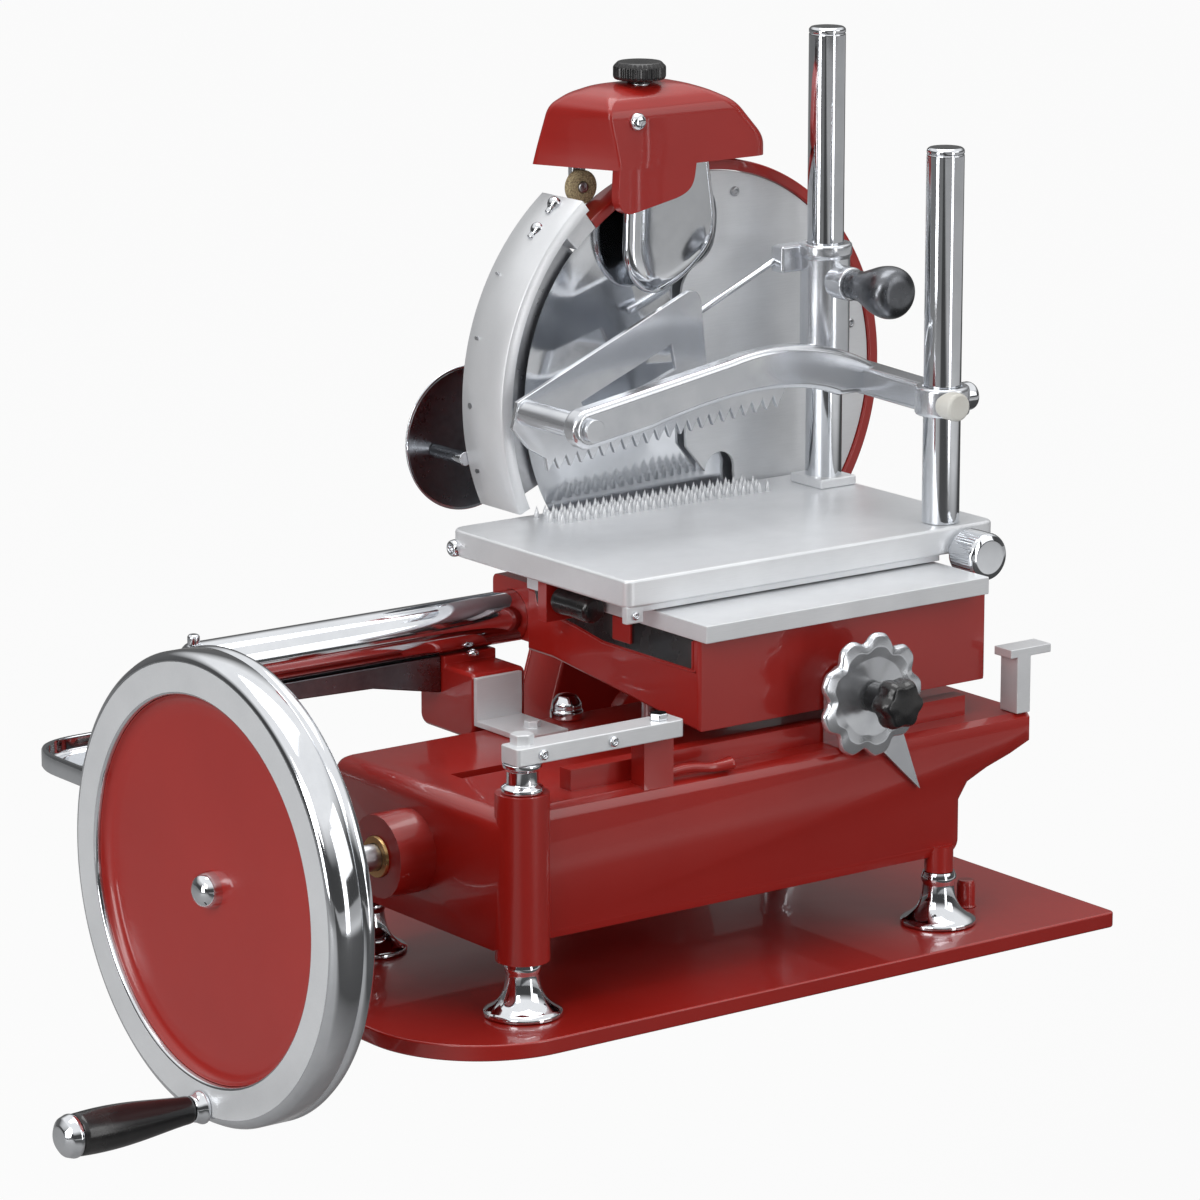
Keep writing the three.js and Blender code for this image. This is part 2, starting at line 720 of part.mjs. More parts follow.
function makeFlywheel() {
  const inner = wheelRadius - rimFaceWidth;
  const place = [wheelFace, wheelCentreY, wheelCentreZ];
  const rimProfile = [[inner, 2], [inner + 2, 0], [wheelRadius - 7, 0], [wheelRadius, 5],
    [wheelRadius - 2.5, 16], [wheelRadius, 26],
    [wheelRadius - 5, rimWidth], [inner, rimWidth], [inner, 2]];
  const rim = turned(rimProfile, 'x', wheelSegments);
  const pinHole = bar('x', handlePinRadius + seatGap, -5, rimWidth + 5, 0, -handleRadius, 12);
  add('flywheel_rim', cut(rim, pinHole), 'chrome', place);

  const discEdge = inner - seatGap;
  const back = discRecess + discThickness;
  const hubEnd = back + hubLength;
  const bore = mainShaftRadius + seatGap;
  const shoulder = discRecess + noseLength - seatGap;
  const discProfile = [[bore, shoulder], [bore, hubEnd], [hubRadius, hubEnd - 4],
    [hubRadius + 5, back + 7], [hubRadius + 18, back], [discEdge - 6, back], [discEdge, back + 6],
    [discEdge, discRecess - 5], [discEdge - 5, discRecess], [noseRadius + seatGap, discRecess],
    [noseRadius + seatGap, shoulder], [bore, shoulder]];
  add('flywheel_disc', turned(discProfile, 'x', wheelSegments), 'redPaint', place);

  const capRadius = 14;
  const capFace = discRecess - seatGap;
  const cap = [[0, capFace], [capRadius, capFace], [capRadius, capFace - 3]];
  for (const angle of [30, 60]) {
    cap.push([capRadius * Math.cos(angle * degrees), capFace - 3 - 9 * Math.sin(angle * degrees)]);
  }
  cap.push([0, capFace - 12]);
  add('hub_cap', turned(cap, 'x'), 'chrome', place);
}

function makeCrankHandle() {
  const place = [wheelFace, wheelCentreY, wheelCentreZ - handleRadius];
  const gripEnd = gripStart + gripLength;
  const pin = [[0, rimWidth - 6], [handlePinRadius, rimWidth - 6], [handlePinRadius, -seatGap],
    [11, -seatGap], [11, -3.5], [8.5, -gripStart + seatGap], [handlePinRadius, -gripStart + seatGap],
    [handlePinRadius, -gripEnd - seatGap], [gripRadius, -gripEnd - seatGap],
    [gripRadius + 0.5, -gripEnd - 4],
    [gripRadius - 4, -gripEnd - 10.5], [0, -gripEnd - 12.5]];
  add('handle_pin', turned(pin, 'x'), 'chrome', place);

  const bore = handlePinRadius + runningGap;
  const grip = [[bore, -gripStart], [8.5, -gripStart], [10, -gripStart - 5]];
  const steps = 5;
  for (let i = 1; i <= steps; i += 1) {
    const share = i / steps;
    const swell = Math.sin(share * Math.PI * 0.62);
    grip.push([10 + (gripRadius + 0.6 - 10) * swell, -gripStart - 5 - (gripLength - 5) * share]);
  }
  grip.push([bore, -gripEnd], [bore, -gripStart]);
  add('crank_grip', turned(grip, 'x'), 'blackGrip', place);
}

// Slide rail and its supports

function makeRail() {
  const capLength = 7;
  const tube = [[0, railLeft - capLength], [railRadius - 3, railLeft - capLength],
    [railRadius, railLeft - capLength + 4], [railRadius, railRight - 2], [railRadius - 2, railRight],
    [0, railRight]];
  const capScrew = bar('z', 4, railRadius - 3, railRadius + 6, railLeft - 3.9, 0, 12);
  add('rail_tube', join(turned(tube, 'x', 22), capScrew), 'chrome', [0, railY, railZ]);

  const underRail = railZ - railRadius - seatGap;
  const barShape = outline([[-250, underRail], [-250, underRail - 12], [-140, underRail - 15],
    [-84, underRail - 26], [-84, underRail]]);
  add('rail_support_bar', prism(barShape, 'y', railY - 7, railY + 7), 'blackSteel');

  const headFront = bodyBack + 4;
  const headShape = roundedRectangle(headFront, 136, railY + 20, underRail - 6, [12, 8, 4, 4]);
  const head = prism(headShape, 'x', -84 + seatGap, -40, 2, 3);
  const saddle = block(-84 + seatGap, -40, railY - 10, railY + 10, underRail - 12, underRail);
  add('rail_head', join(head, saddle), 'redPaint');

  const legTop = 181;
  const angleThickness = 4;
  const angleShape = outline([[-8, bodyTop + seatGap], [headFront - seatGap, bodyTop + seatGap],
    [headFront - seatGap, legTop], [headFront - angleThickness, legTop],
    [headFront - angleThickness, bodyTop + seatGap + angleThickness],
    [-8, bodyTop + seatGap + angleThickness]]);
  const bolt = bar('z', 6, bodyTop + 3, bodyTop + 9, -62, 12, 6);
  add('left_rail_bracket', join(prism(angleShape, 'x', -84, -46), bolt), 'castAluminium');

  const towerShape = outline([[-10, bodyTop + seatGap], [bodyBack - 8, bodyTop + seatGap],
    [railY + 18, underRail - 22],
    [railY + 18, underRail], [railY - 16, underRail], [10, bodyTop + 14], [-10, bodyTop + 12]]);
  add('right_rail_bracket', prism(towerShape, 'x', 227, railRight), 'castAluminium');
}

function makeStops() {
  const barTop = stopBarBottom + 11.7;
  const barShape = roundedRectangle(-196, bodyFront - 8, -62, bodyFront + 12, [3, 3, 3, 3]);
  const nut = bar('z', 8, barTop - 1, barTop + 7, footLeftX, footFrontY, 6);
  add('stop_bar', join(prism(barShape, 'z', stopBarBottom, barTop, 0, 3), nut), 'plateAluminium');

  const foot = frontColumnTop + seatGap;
  const head = stopBarBottom - seatGap;
  const collar = [[0, foot], [14, foot], [14, foot + 4], [11, foot + 6], [11, head - 4], [13, head - 2],
    [13, head], [0, head]];
  add('column_collar', turned(collar, 'z'), 'chrome', [footLeftX, footFrontY, 0]);

  const legRight = flangeRight - 1;
  const legLeft = legRight - 12;
  const shelf = 187;
  const shelfTop = 193;
  const shape = outline([[legLeft, bodyTop + seatGap], [legRight, bodyTop + seatGap], [legRight, shelf],
    [264, shelf], [264, shelfTop], [legLeft - 6, shelfTop], [legLeft - 6, shelf], [legLeft, shelf]]);
  add('right_stop_bracket', prism(shape, 'y', bodyFront + 4, bodyFront + 22), 'castAluminium');
}

// Carriage

function makeCarriage() {
  const bushFront = railY - 25;
  const bushSide = bushFront - seatGap;
  const roof = carriageTop - carriageWall;
  const outer = outline([[carriageFront, carriageFrontBottom], [40, carriageBackBottom],
    [bushSide, carriageBackBottom], [bushSide, carriageTop], [carriageFront, carriageTop]]);
  const innerBack = bushSide - carriageWall;
  const inner = outline([[carriageFront + carriageWall, carriageFrontBottom - 30],
    [innerBack, carriageFrontBottom - 30], [innerBack, roof], [carriageFront + carriageWall, roof]]);
  const shell = cut(prism(outer, 'x', carriageLeft, carriageRight, 2),
    prism(inner, 'x', carriageLeft + carriageWall, carriageRight - carriageWall));
  const nutFront = -22;
  const nutBack = -4;
  const nutRight = feedScrewX + 9;
  const nutFoot = block(carriageRight - 8, nutRight, nutFront, nutBack, carriageTop - 14, 246);
  const nut = block(feedScrewX - 9, nutRight, nutFront, nutBack, carriageTop, feedScrewZ + 7);
  const screwHole = bar('y', feedScrewRadius + runningGap, nutFront - 5, nutBack + 5,
    feedScrewX, feedScrewZ, 12);
  const gripLug = block(-50, carriageLeft + 2, 12, 22, 222, 249);
  const gripHole = bar('y', 4 + runningGap, 0, 40, gripX, gripZ, 12);
  add('carriage_body', cut(join(shell, nutFoot, nut, gripLug), screwHole, gripHole), 'redPaint');

  const slideBottom = carriageTop + seatGap;
  const slideTop = slideBottom + slidewayThickness;
  const slide = block(carriageLeft - 4, carriageRight - 9, slidewayFront, 64, slideBottom, slideTop);
  const lugRoom = block(-60, carriageLeft + 2 + seatGap, 8, 26, slideBottom - 1, slideTop + 1);
  add('carriage_slideway', cut(slide, lugRoom), 'plateAluminium');

  const bushShape = roundedRectangle(bushFront, railZ - railRadius + 2.5, railY + 23, carriageTop,
    [3, 3, 5, 3]);
  const bushBody = prism(bushShape, 'x', carriageLeft + 6, carriageRight - 2, 0, 2);
  const bore = bar('x', railRadius + seatGap, carriageLeft - 10, carriageRight + 10, railY, railZ, 22);
  add('carriage_bearing', cut(bushBody, bore), 'redPaint');

  const lugBlock = block(lugX - 8, lugX + 8, wheelCentreY - 8, wheelCentreY + 8, 176, roof - seatGap);
  const lugPin = bar('z', lugPinRadius, rodBottom + 0.5, 180, lugX, wheelCentreY);
  add('drive_lug', join(lugBlock, lugPin), 'steel');

  const grip = [[0, -60], [8.5, -60], [9.5, -57], [9.5, 0], [8, 2], [4, 2], [4, 24], [0, 24]];
  add('release_grip', turned(grip, 'y'), 'blackGrip', [gripX, 8, gripZ]);
}

// Meat table and posts

function makeTable() {
  const bottom = tableTop - tableThickness;
  const plate = prism(roundedRectangle(tableLeft, tableFront, tableRight, tableBack, [5, 8, 4, 12]), 'z',
    bottom, tableTop, 2, 3);
  const wayHeight = bottom - (carriageTop + seatGap + slidewayThickness) - seatGap;
  const ways = [[-14, 6], [190, 210]].map(([x0, x1]) => block(
    x0, x1, tableFront + 10, 60, bottom - wayHeight, bottom + 2));
  const channel = block(feedScrewX - 11, feedScrewX + 11, tableFront + 9, 62, bottom - 5, feedScrewZ + 9);
  const screwHole = bar('y', feedScrewRadius + runningGap, tableFront - 5, tableFront + 20,
    feedScrewX, feedScrewZ, 12);
  const spigotRadius = postRadius - 3;
  const sockets = [[frontPostX, frontPostY], [rearPostX, rearPostY]].map(([x, y]) => bar(
    'z', spigotRadius + seatGap, tableTop - 6, tableTop + 5, x, y));
  const spikes = [];
  const spikeRadius = 2.2;
  for (let row = 0; row < spikeRows; row += 1) {
    for (let i = 0; i < spikesPerRow; i += 1) {
      const spike = new THREE.ConeGeometry(spikeRadius, spikeHeight + 1, 3);
      spike.rotateX(Math.PI / 2);
      spike.translate(12 + i * 12 + (row % 2) * 6, 104 - row * 12, tableTop + spikeHeight / 2 - 0.5);
      spikes.push(spike);
    }
  }
  add('meat_table', cut(join(plate, ...ways, ...spikes), channel, screwHole, ...sockets), 'plateAluminium');

  for (const [name, x, y, top] of [['front_post', frontPostX, frontPostY, frontPostTop],
    ['rear_post', rearPostX, rearPostY, rearPostTop]]) {
    const foot = tableTop + seatGap;
    const post = [[0, foot - 5], [spigotRadius, foot - 5], [spigotRadius, foot], [postRadius, foot],
      [postRadius, top - 2], [postRadius - 2, top], [0, top]];
    add(name, turned(post, 'z'), 'chrome', [x, y, 0]);
  }
}

function makeFeedKnob() {
  const knobBack = tableFront - seatGap;
  const front = knobBack - feedKnobLength;
  const screwEnd = 34;
  const profile = [[0, front], [feedKnobRadius - 3, front], [feedKnobRadius, front + 3],
    [feedKnobRadius, knobBack - 4], [feedKnobRadius - 3, knobBack], [feedScrewRadius, knobBack],
    [feedScrewRadius, screwEnd], [0, screwEnd]];
  add('feed_knob', turned(profile, 'y'), 'chrome', [feedScrewX, 0, feedScrewZ]);
}

// Thickness dial

/** Scalloped outline of a knob: a circle with evenly spaced lobes. */
function lobed(radius, depth, lobes, pointsPerLobe) {
  const points = [];
  const count = lobes * pointsPerLobe;
  for (let i = 0; i < count; i += 1) {
    const angle = 2 * Math.PI * i / count;
    const reach = radius - depth + depth * Math.cos(angle * lobes);
    points.push([reach * Math.cos(angle), reach * Math.sin(angle)]);
  }
  return outline(points);
}

function makeDial() {
  const bracketBack = carriageFront - 2;
  const bracketFront = bodyFront + 1;
  const half = 16;
  const bracketShape = roundedRectangle(dialX - half, bodyTop + seatGap, dialX + half, dialZ + half,
    [0.1, 0.1, half - 0.1, half - 0.1]);
  const bracket = prism(bracketShape, 'y', bracketFront, bracketBack, 0, 5);
  const stem = bar('y', dialStemRadius, dialBack - dialThickness - 3, bracketFront + 2, dialX, dialZ);
  const pointer = prism(outline([[dialX - 6, dialZ], [dialX + 4, dialZ - 32], [dialX + 47, dialZ - 73],
    [dialX + 30, dialZ - 27], [dialX + 8, dialZ + 4]]), 'y', dialBack + seatGap, bodyFront - 0.5);
  add('dial_bracket', join(bracket, stem, pointer), 'castAluminium');

  const bore = bar('y', dialStemRadius + runningGap, dialBack - 30, dialBack + 5, 0, 0);
  const dial = prism(lobed(dialRadius, 3, dialLobes, 4), 'y', dialBack - dialThickness, dialBack);
  add('thickness_dial', cut(dial, bore), 'castAluminium', [dialX, 0, dialZ]);

  const knobBack = dialBack - dialThickness - seatGap;
  const knobFront = knobBack - dialKnobLength;
  const knob = prism(lobed(dialKnobRadius, 2.5, 6, 4), 'y', knobFront, knobFront + dialHeadLength, 2.5);
  const neck = bar('y', dialNeckRadius, knobFront + dialHeadLength - 1, knobBack, 0, 0);
  const knobBore = bar('y', dialStemRadius + runningGap, knobBack - 4, knobBack + 4, 0, 0);
  add('dial_knob', cut(join(knob, neck), knobBore), 'blackGrip', [dialX, 0, dialZ]);
}

// Blade, its shaft and its support

function makeBlade() {
  const place = [bladeCentreX, 0, bladeCentreZ];
  const back = bladeFront + bladeThickness;
  const bore = bladeShaftRadius + seatGap;
  const profile = [[bore, bladeFront + 1], [0.4 * bladeRadius, bladeFront + 1],
    [0.7 * bladeRadius, bladeFront + 2.6], [bladeRadius, bladeFront], [bladeRadius, bladeFront + 0.6],
    [bladeRadius - 12, back], [bore, back], [bore, bladeFront + 1]];
  add('blade', turned(profile, 'y', 36), 'chrome', place);

  const shaftEnd = caseFront + caseWall + 8 + sprocketThickness + 8;
  const nutFace = bladeFront + 1 - seatGap;
  const shaft = [[0, nutFace - 3], [15, nutFace - 3], [15, nutFace], [bladeShaftRadius, nutFace],
    [bladeShaftRadius, back + seatGap], [20, back + seatGap], [20, caseFront - 1.5],
    [bladeShaftRadius, caseFront - 1.5], [bladeShaftRadius, shaftEnd], [0, shaftEnd]];
  add('blade_shaft', turned(shaft, 'y'), 'steel', place);

  add('blade_sprocket', sprocket(bladeSprocketTeeth, bladeShaftRadius), 'steel',
    [bladeCentreX, caseFront + caseWall + 8, bladeCentreZ]);
}

/** Outline of a band of a circle between two angles in degrees, in XZ about the blade's axis. */
function arcBand(inner, outer, from, to) {
  const shape = new THREE.Shape();
  shape.absarc(bladeCentreX, bladeCentreZ, outer, from * degrees, to * degrees, false);
  shape.absarc(bladeCentreX, bladeCentreZ, inner, to * degrees, from * degrees, true);
  return shape;
}

function makeBladeSupport() {
  const caseOffset = 10.5 + 3 + caseWall;
  const back = caseFront + caseDepth;
  const body = prism(loopOutline(caseOffset), 'y', caseFront, back, 0, 8);
  const pedestal = block(70, 180, caseFront, back, plateThickness + seatGap, 60);
  const cavity = prism(loopOutline(caseOffset - caseWall), 'y', caseFront + caseWall, back + 5, 0, 8);
  const lowHub = bar('y', 20, bodyBack + seatGap, caseFront + 6, crossShaftX, wheelCentreZ);
  const highHub = bar('y', 24, caseFront - 1, caseFront + caseWall + 3, bladeCentreX, bladeCentreZ);
  const lowBore = bar('y', crossShaftRadius + runningGap, bodyBack - 10, caseFront + 20,
    crossShaftX, wheelCentreZ);
  const highBore = bar('y', bladeShaftRadius + runningGap, caseFront - 10, caseFront + 20,
    bladeCentreX, bladeCentreZ);
  const ringArm = block(bladeCentreX - 12, bladeCentreX + 12, caseFront - 12, caseFront + 8,
    bladeCentreZ - ringOuter - 14, bladeCentreZ - ringOuter + 3);
  const armWeb = block(bladeCentreX - 20, bladeCentreX + 12, caseFront - 3, caseFront + 8,
    bladeCentreZ - ringOuter - 14, bladeCentreZ - ringOuter + 20);
  const ringSeat = bar('y', ringOuter + 0.8, caseFront - 30, caseFront - 3,
    bladeCentreX, bladeCentreZ, 48);
  const solid = cut(join(cut(join(body, pedestal), cavity), lowHub, highHub, armWeb,
    cut(ringArm, ringSeat)), lowBore, highBore);
  add('blade_support', solid, 'redPaint');

  const lid = prism(loopOutline(caseOffset), 'y', back + seatGap, back + seatGap + 4, 0, 8);
  add('chain_cover', lid, 'redPaint');
}

function makeRingAndGuard() {
  const ringEndAngle = guardTopAngle - seatGap / ringOuter / degrees;
  const ring = prism(arcBand(ringInner, ringOuter, -92, ringEndAngle), 'y',
    ringFront, ringFront + ringDepth, 0, 18);
  const lug = block(stemX - 13, stemX + 13, ringFront + ringDepth - 3, stemY + 12,
    bladeCentreZ + ringInner + 3, hoodBottom - seatGap);
  const stemHole = bar('z', stemRadius + runningGap, bladeCentreZ, hoodBottom + 10, stemX, stemY);
  add('blade_ring', cut(join(ring, lug), stemHole), 'redPaint');

  const guardBack = guardFront + guardDepth;
  const footDrop = bladeCentreZ - tableTop - guardFootClearance;
  const guardFootAngle = 180 + Math.asin(footDrop / guardRadius) / degrees;
  const band = prism(arcBand(guardRadius - guardWall, guardRadius, guardTopAngle, guardFootAngle), 'y',
    guardFront, guardBack, 0, 12);
  const lip = prism(arcBand(guardRadius - 9, guardRadius, guardTopAngle, guardFootAngle), 'y',
    guardFront, guardFront + 3, 0, 12);
  const tie = prism(arcBand(ringInner + 1, guardRadius - 1, guardTopAngle, guardTopAngle + 8), 'y',
    ringFront, ringFront + ringDepth, 0, 2);
  add('blade_guard', join(band, lip, tie), 'castAluminium');
}

function makeCoverPlate() {
  const radius = ringInner - 0.6;
  const startAngle = 95;
  const endAngle = -62;
  const top = bladeCentreZ + radius - 8.4;
  const shape = new THREE.Shape();
  shape.absarc(bladeCentreX, bladeCentreZ, radius, startAngle * degrees, endAngle * degrees, true);
  shape.lineTo(206, 255);
  shape.lineTo(196, 268);
  shape.absarc(182, 280, 13, -0.2, Math.PI, false);
  shape.lineTo(152, 300);
  shape.lineTo(147, top - 64);
  shape.quadraticCurveTo(176, top - 52, 178, top - 26);
  shape.quadraticCurveTo(178, top - 8, 158, top);
  add('cover_plate', prism(shape, 'y', coverFront, coverFront + coverThickness, 0, 10), 'plateAluminium');
}

// Slice side

function makeSliceSide() {
  const strutAngle = 192.7 * degrees;
  const strutRadius = 5;
  const strutX = bladeCentreX + (guardRadius + 1) * Math.cos(strutAngle);
  const strutZ = bladeCentreZ + (guardRadius + 1) * Math.sin(strutAngle);
  const dishX = strutX + 24;
  const dishY = 196;
  const dishZ = strutZ + 7;
  const dish = turned([[0, dishY + 5], [20, dishY + 4], [44, dishY], [52, dishY - 3], [52, dishY - 1],
    [45, dishY + 3], [20, dishY + 8], [0, dishY + 9]], 'y', 18);
  dish.translate(dishX, 0, dishZ);
  const strut = bar('y', strutRadius, guardFront + guardDepth + seatGap, dishY + 7, strutX, strutZ, 12);
  add('slice_deflector', join(dish, strut), 'chrome');

  const trayTop = 124;
  const trayShape = roundedRectangle(-312, 140, -168, 268, [26, 10, 10, 26]);
  const tray = prism(trayShape, 'z', trayTop - 14, trayTop, 2, 2);
  const wellShape = roundedRectangle(-308, 144, -172, 264, [22, 7, 7, 22]);
  const well = prism(wellShape, 'z', trayTop - 11, trayTop + 5, 0, 2);
  const armFoot = block(-196, -176, bodyBack + seatGap, 150, trayTop - 22, trayTop - 13);
  add('slice_tray', join(cut(tray, well), armFoot), 'chrome');
}

// Meat clamp

function makeClamp() {
  const sleeve = bar('z', sleeveRadius, sleeveBottom, sleeveTop, rearPostX, rearPostY);
  const barHigh = 366;
  const barLow = 346;
  const crossShape = outline([[rearPostX - 13, rearPostY], [rearPostX + 11, rearPostY],
    [frontPostX + 9, frontPostY], [frontPostX - 9, frontPostY]]);
  const crossbar = prism(crossShape, 'z', barLow, barHigh);
  const eye = bar('z', postRadius + 6, barLow, barHigh, frontPostX, frontPostY);
  const roller = bar('y', 10, frontPostY - postRadius - 13, frontPostY - 10, frontPostX - 6, 355);
  const cap = bar('x', 10, frontPostX + 10, frontPostX + postRadius + 14, frontPostY, 356);
  const armShape = new THREE.Shape();
  armShape.moveTo(236, 346);
  armShape.lineTo(236, 366);
  armShape.bezierCurveTo(200, 388, 150, 392, 110, 384);
  armShape.absarc(presserPinX, presserPinZ, 14, Math.PI * 0.6, Math.PI * 1.5, false);
  armShape.lineTo(40, 344);
  armShape.bezierCurveTo(110, 362, 170, 364, 205, 348);
  const arm = prism(armShape, 'y', armY - armThickness / 2, armY + armThickness / 2, 3, 4);
  const neck = block(212, 238, armY - armThickness / 2, armY + armThickness / 2, barLow + 2, barHigh - 1);
  const lug = block(208, 234, rearPostY + 6, tieRodY + 3, 424, 443);
  const rodStart = new THREE.Vector3(214, tieRodY, 434);
  const rodEnd = new THREE.Vector3(128, tieRodY, 396);
  const along = new THREE.Vector3().subVectors(rodEnd, rodStart);
  const tieRod = bar('z', 2.5, 0, along.length(), 0, 0, 8);
  tieRod.applyQuaternion(new THREE.Quaternion().setFromUnitVectors(
    new THREE.Vector3(0, 0, 1), along.clone().normalize()));
  tieRod.translate(rodStart.x, rodStart.y, rodStart.z);
  const knobBoss = bar('y', 12, rearPostY - sleeveRadius - 12, rearPostY, rearPostX, clampKnobZ);
  const bores = [
    bar('z', postRadius + runningGap, sleeveBottom - 10, sleeveTop + 10, rearPostX, rearPostY),
    bar('z', postRadius + runningGap + 0.4, barLow - 10, barHigh + 10, frontPostX, frontPostY),
    bar('y', 5 + runningGap, rearPostY - sleeveRadius - 20, rearPostY - postRadius + 2,
      rearPostX, clampKnobZ, 12),
    bar('y', 5 + runningGap, armY - 20, armY + 20, presserPinX, presserPinZ, 12),
  ];
  const casting = join(sleeve, crossbar, eye, roller, cap, arm, neck, lug, tieRod, knobBoss);
  add('clamp_arm', cut(casting, ...bores), 'castAluminium');

  const bossFace = rearPostY - sleeveRadius - 12 - seatGap;
  const screwTip = rearPostY - postRadius - seatGap - 1;
  const knob = [[0, screwTip], [5, screwTip], [5, bossFace], [11, bossFace], [12, bossFace - 6],
    [15, bossFace - 19], [18.5, bossFace - 31], [19, bossFace - 40], [16, bossFace - 48],
    [9, bossFace - 52], [0, bossFace - 53]];
  add('clamp_knob', turned(knob, 'y'), 'blackSteel', [rearPostX, 0, clampKnobZ]);
}

function makePresser() {
  const half = presserThickness / 2;
  const frame = new THREE.Shape();
  frame.moveTo(-24, 340);
  frame.lineTo(-10, 324);
  frame.lineTo(combStart, 316);
  const pitch = (combEnd - combStart) / combTeeth;
  for (let i = 0; i < combTeeth; i += 1) {
    const x = combStart + i * pitch;
    const rise = combSlope * (x - combStart);
    frame.lineTo(x + 0.2 * pitch, combBottom + rise);
    frame.lineTo(x + 0.8 * pitch, combBottom + combToothHeight + rise);
  }
  frame.lineTo(combEnd, 350);
  frame.lineTo(144, 356);
  frame.lineTo(138, 412);
  frame.quadraticCurveTo(134, 424, 122, 418);
  frame.lineTo(-20, 358);
  const slot = new THREE.Path();
  slot.moveTo(34, 352);
  slot.lineTo(112, 384);
  slot.lineTo(116, 366);
  slot.lineTo(40, 340);
  frame.holes.push(slot);
  const plate = prism(frame, 'y', presserY - half, presserY + half, 0, 5);
  const armFront = armY - armThickness / 2;
  const armBack = armY + armThickness / 2;
  const pin = bar('y', 5, armFront - 1, presserY, presserPinX, presserPinZ, 12);
  const collar = bar('y', 9, armBack + seatGap, presserY, presserPinX, presserPinZ);
  const head = bar('y', 8, armFront - 5, armFront - seatGap, presserPinX, presserPinZ);
  add('presser_plate', join(plate, pin, collar, head), 'castAluminium');
}

// Sharpener

/** Plan of the hood at one height, from its front left corner to its back left one. */
function hoodRing(height, frontLeft, backLeft, right, inset) {
  const front = hoodFront + inset;
  const back = hoodBack - inset;
  return [[frontLeft, front], [right, front], [right, back], [backLeft, back]].map(
    ([x, y]) => new THREE.Vector3(x, y, hoodBottom + height));
}

function makeSharpener() {
  const shell = lofted([
    hoodRing(0, hoodLeft + 31, hoodLeft, hoodRight, 0),
    hoodRing(13, hoodLeft + 28, hoodLeft + 4, hoodRight, 0),
    hoodRing(hoodShoulder, hoodLeft + 21, hoodLeft + 13, hoodRight - 27, 0),
    hoodRing(hoodShoulder + 9, hoodLeft + 28, hoodLeft + 22, hoodRight - 47, 7),
    hoodRing(hoodHeight, hoodLeft + 42, hoodLeft + 38, hoodRight - 67, 20),
  ]);
  const tongue = prism(outline([[77, hoodBottom + 14], [75, hoodBottom - 23], [81, hoodBottom - 32],
    [132, hoodBottom - 22], [140, hoodBottom - 15], [146, hoodBottom + 20]]),
    'y', hoodFront, hoodFront + hoodWall, 1);
  const roof = hoodTop - 27;
  const inside = hoodBack - hoodWall;
  const hollow = prism(outline([[79, hoodFront + hoodWall], [hoodRight - 27, hoodFront + hoodWall],
    [hoodRight - 27, inside], [63.5, inside]]), 'z', hoodBottom - 40, roof);
  const ringRoom = block(hoodLeft - 5, hoodRight + 5, hoodFront + hoodWall, hoodBack + 5, hoodBottom - 40,
    hoodBottom);
  const knobStemHole = bar('z', stemRadius + runningGap, hoodBottom, hoodTop + 20, knobStemX, knobStemY);
  const stem = bar('z', stemRadius, bladeCentreZ + ringInner - 26, roof + 5, stemX, stemY);
  add('sharpener_hood', join(cut(join(shell, tongue), hollow, ringRoom, knobStemHole), stem), 'redPaint');

  const headTop = roof - seatGap;
  const headBottom = headTop - 8;
  const armFront = 108;
  const armBack = 117;
  const stoneBack = stoneFront + stoneThickness;
  const hangerFront = stoneBack + seatGap;
  const hangerBack = hangerFront + 6;
  const hangerLeft = stoneX - 4.5;
  const headShape = outline([[82, armFront], [168, armFront], [168, 136], [104, 136], [104, hangerBack],
    [hangerLeft, hangerBack], [hangerLeft, hangerFront], [82, 137]]);
  const headPlate = prism(headShape, 'z', headBottom, headTop);
  const armShape = outline([[92, headTop - 2], [160, headTop - 2], [172, 450], [142, 424], [112, 412],
    [90, 434]]);
  const arm = prism(armShape, 'y', armFront, armBack, 2);
  const column = bar('z', stemRadius, headBottom, hoodTop, knobStemX, knobStemY);
  const hanger = block(hangerLeft, stoneX + 7, hangerFront, hangerBack, stoneZ - 6, headTop);
  const stonePin = bar('y', stonePinRadius, stoneFront - 0.4, hangerBack - 1, stoneX, stoneZ, 12);
  add('sharpener_arm', join(headPlate, arm, column, hanger, stonePin), 'castAluminium');

  const base = sharpenerKnobBase;
  const knob = [[0, base], [9, base], [9, base + 2], [18, base + 3], [18, base + 12], [15, base + 15],
    [0, base + 15]];
  add('sharpener_knob', turned(knob, 'z'), 'blackGrip', [knobStemX, knobStemY, 0]);

  const stoneBore = stonePinRadius + runningGap;
  const stone = [[stoneBore, stoneFront], [stoneRadius, stoneFront], [stoneRadius, stoneBack],
    [stoneBore, stoneBack], [stoneBore, stoneFront]];
  add('grinding_stone', turned(stone, 'y', 20), 'abrasive', [stoneX, 0, stoneZ]);
}

makeBasePlate();
makeFeet();
makeMainBody();
makeMainShaft();
makeShaftGears();
makeCrossShaft();
makeChainDrive();
makeBridge();
makeCrankDisc();
makeConnectingRod();
makeFlywheel();
makeCrankHandle();
makeRail();
makeStops();
makeCarriage();
makeTable();
makeFeedKnob();
makeDial();
makeBlade();
makeBladeSupport();
makeRingAndGuard();
makeCoverPlate();
makeSliceSide();
makeClamp();
makePresser();
makeSharpener();

export default group;
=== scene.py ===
"""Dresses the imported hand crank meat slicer: smooth surfaces, finishes, studio and camera.

Sizes in the classes are in millimetres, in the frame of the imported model: X runs along the
machine away from the flywheel, Y from the operator's side to the blade, and Z is up.
"""

from __future__ import annotations

import json
import logging
import math
from dataclasses import dataclass
from enum import Enum
from typing import Callable, Optional, Sequence, Union

import bmesh
import bpy
import numpy as np
from mathutils import Matrix, Vector


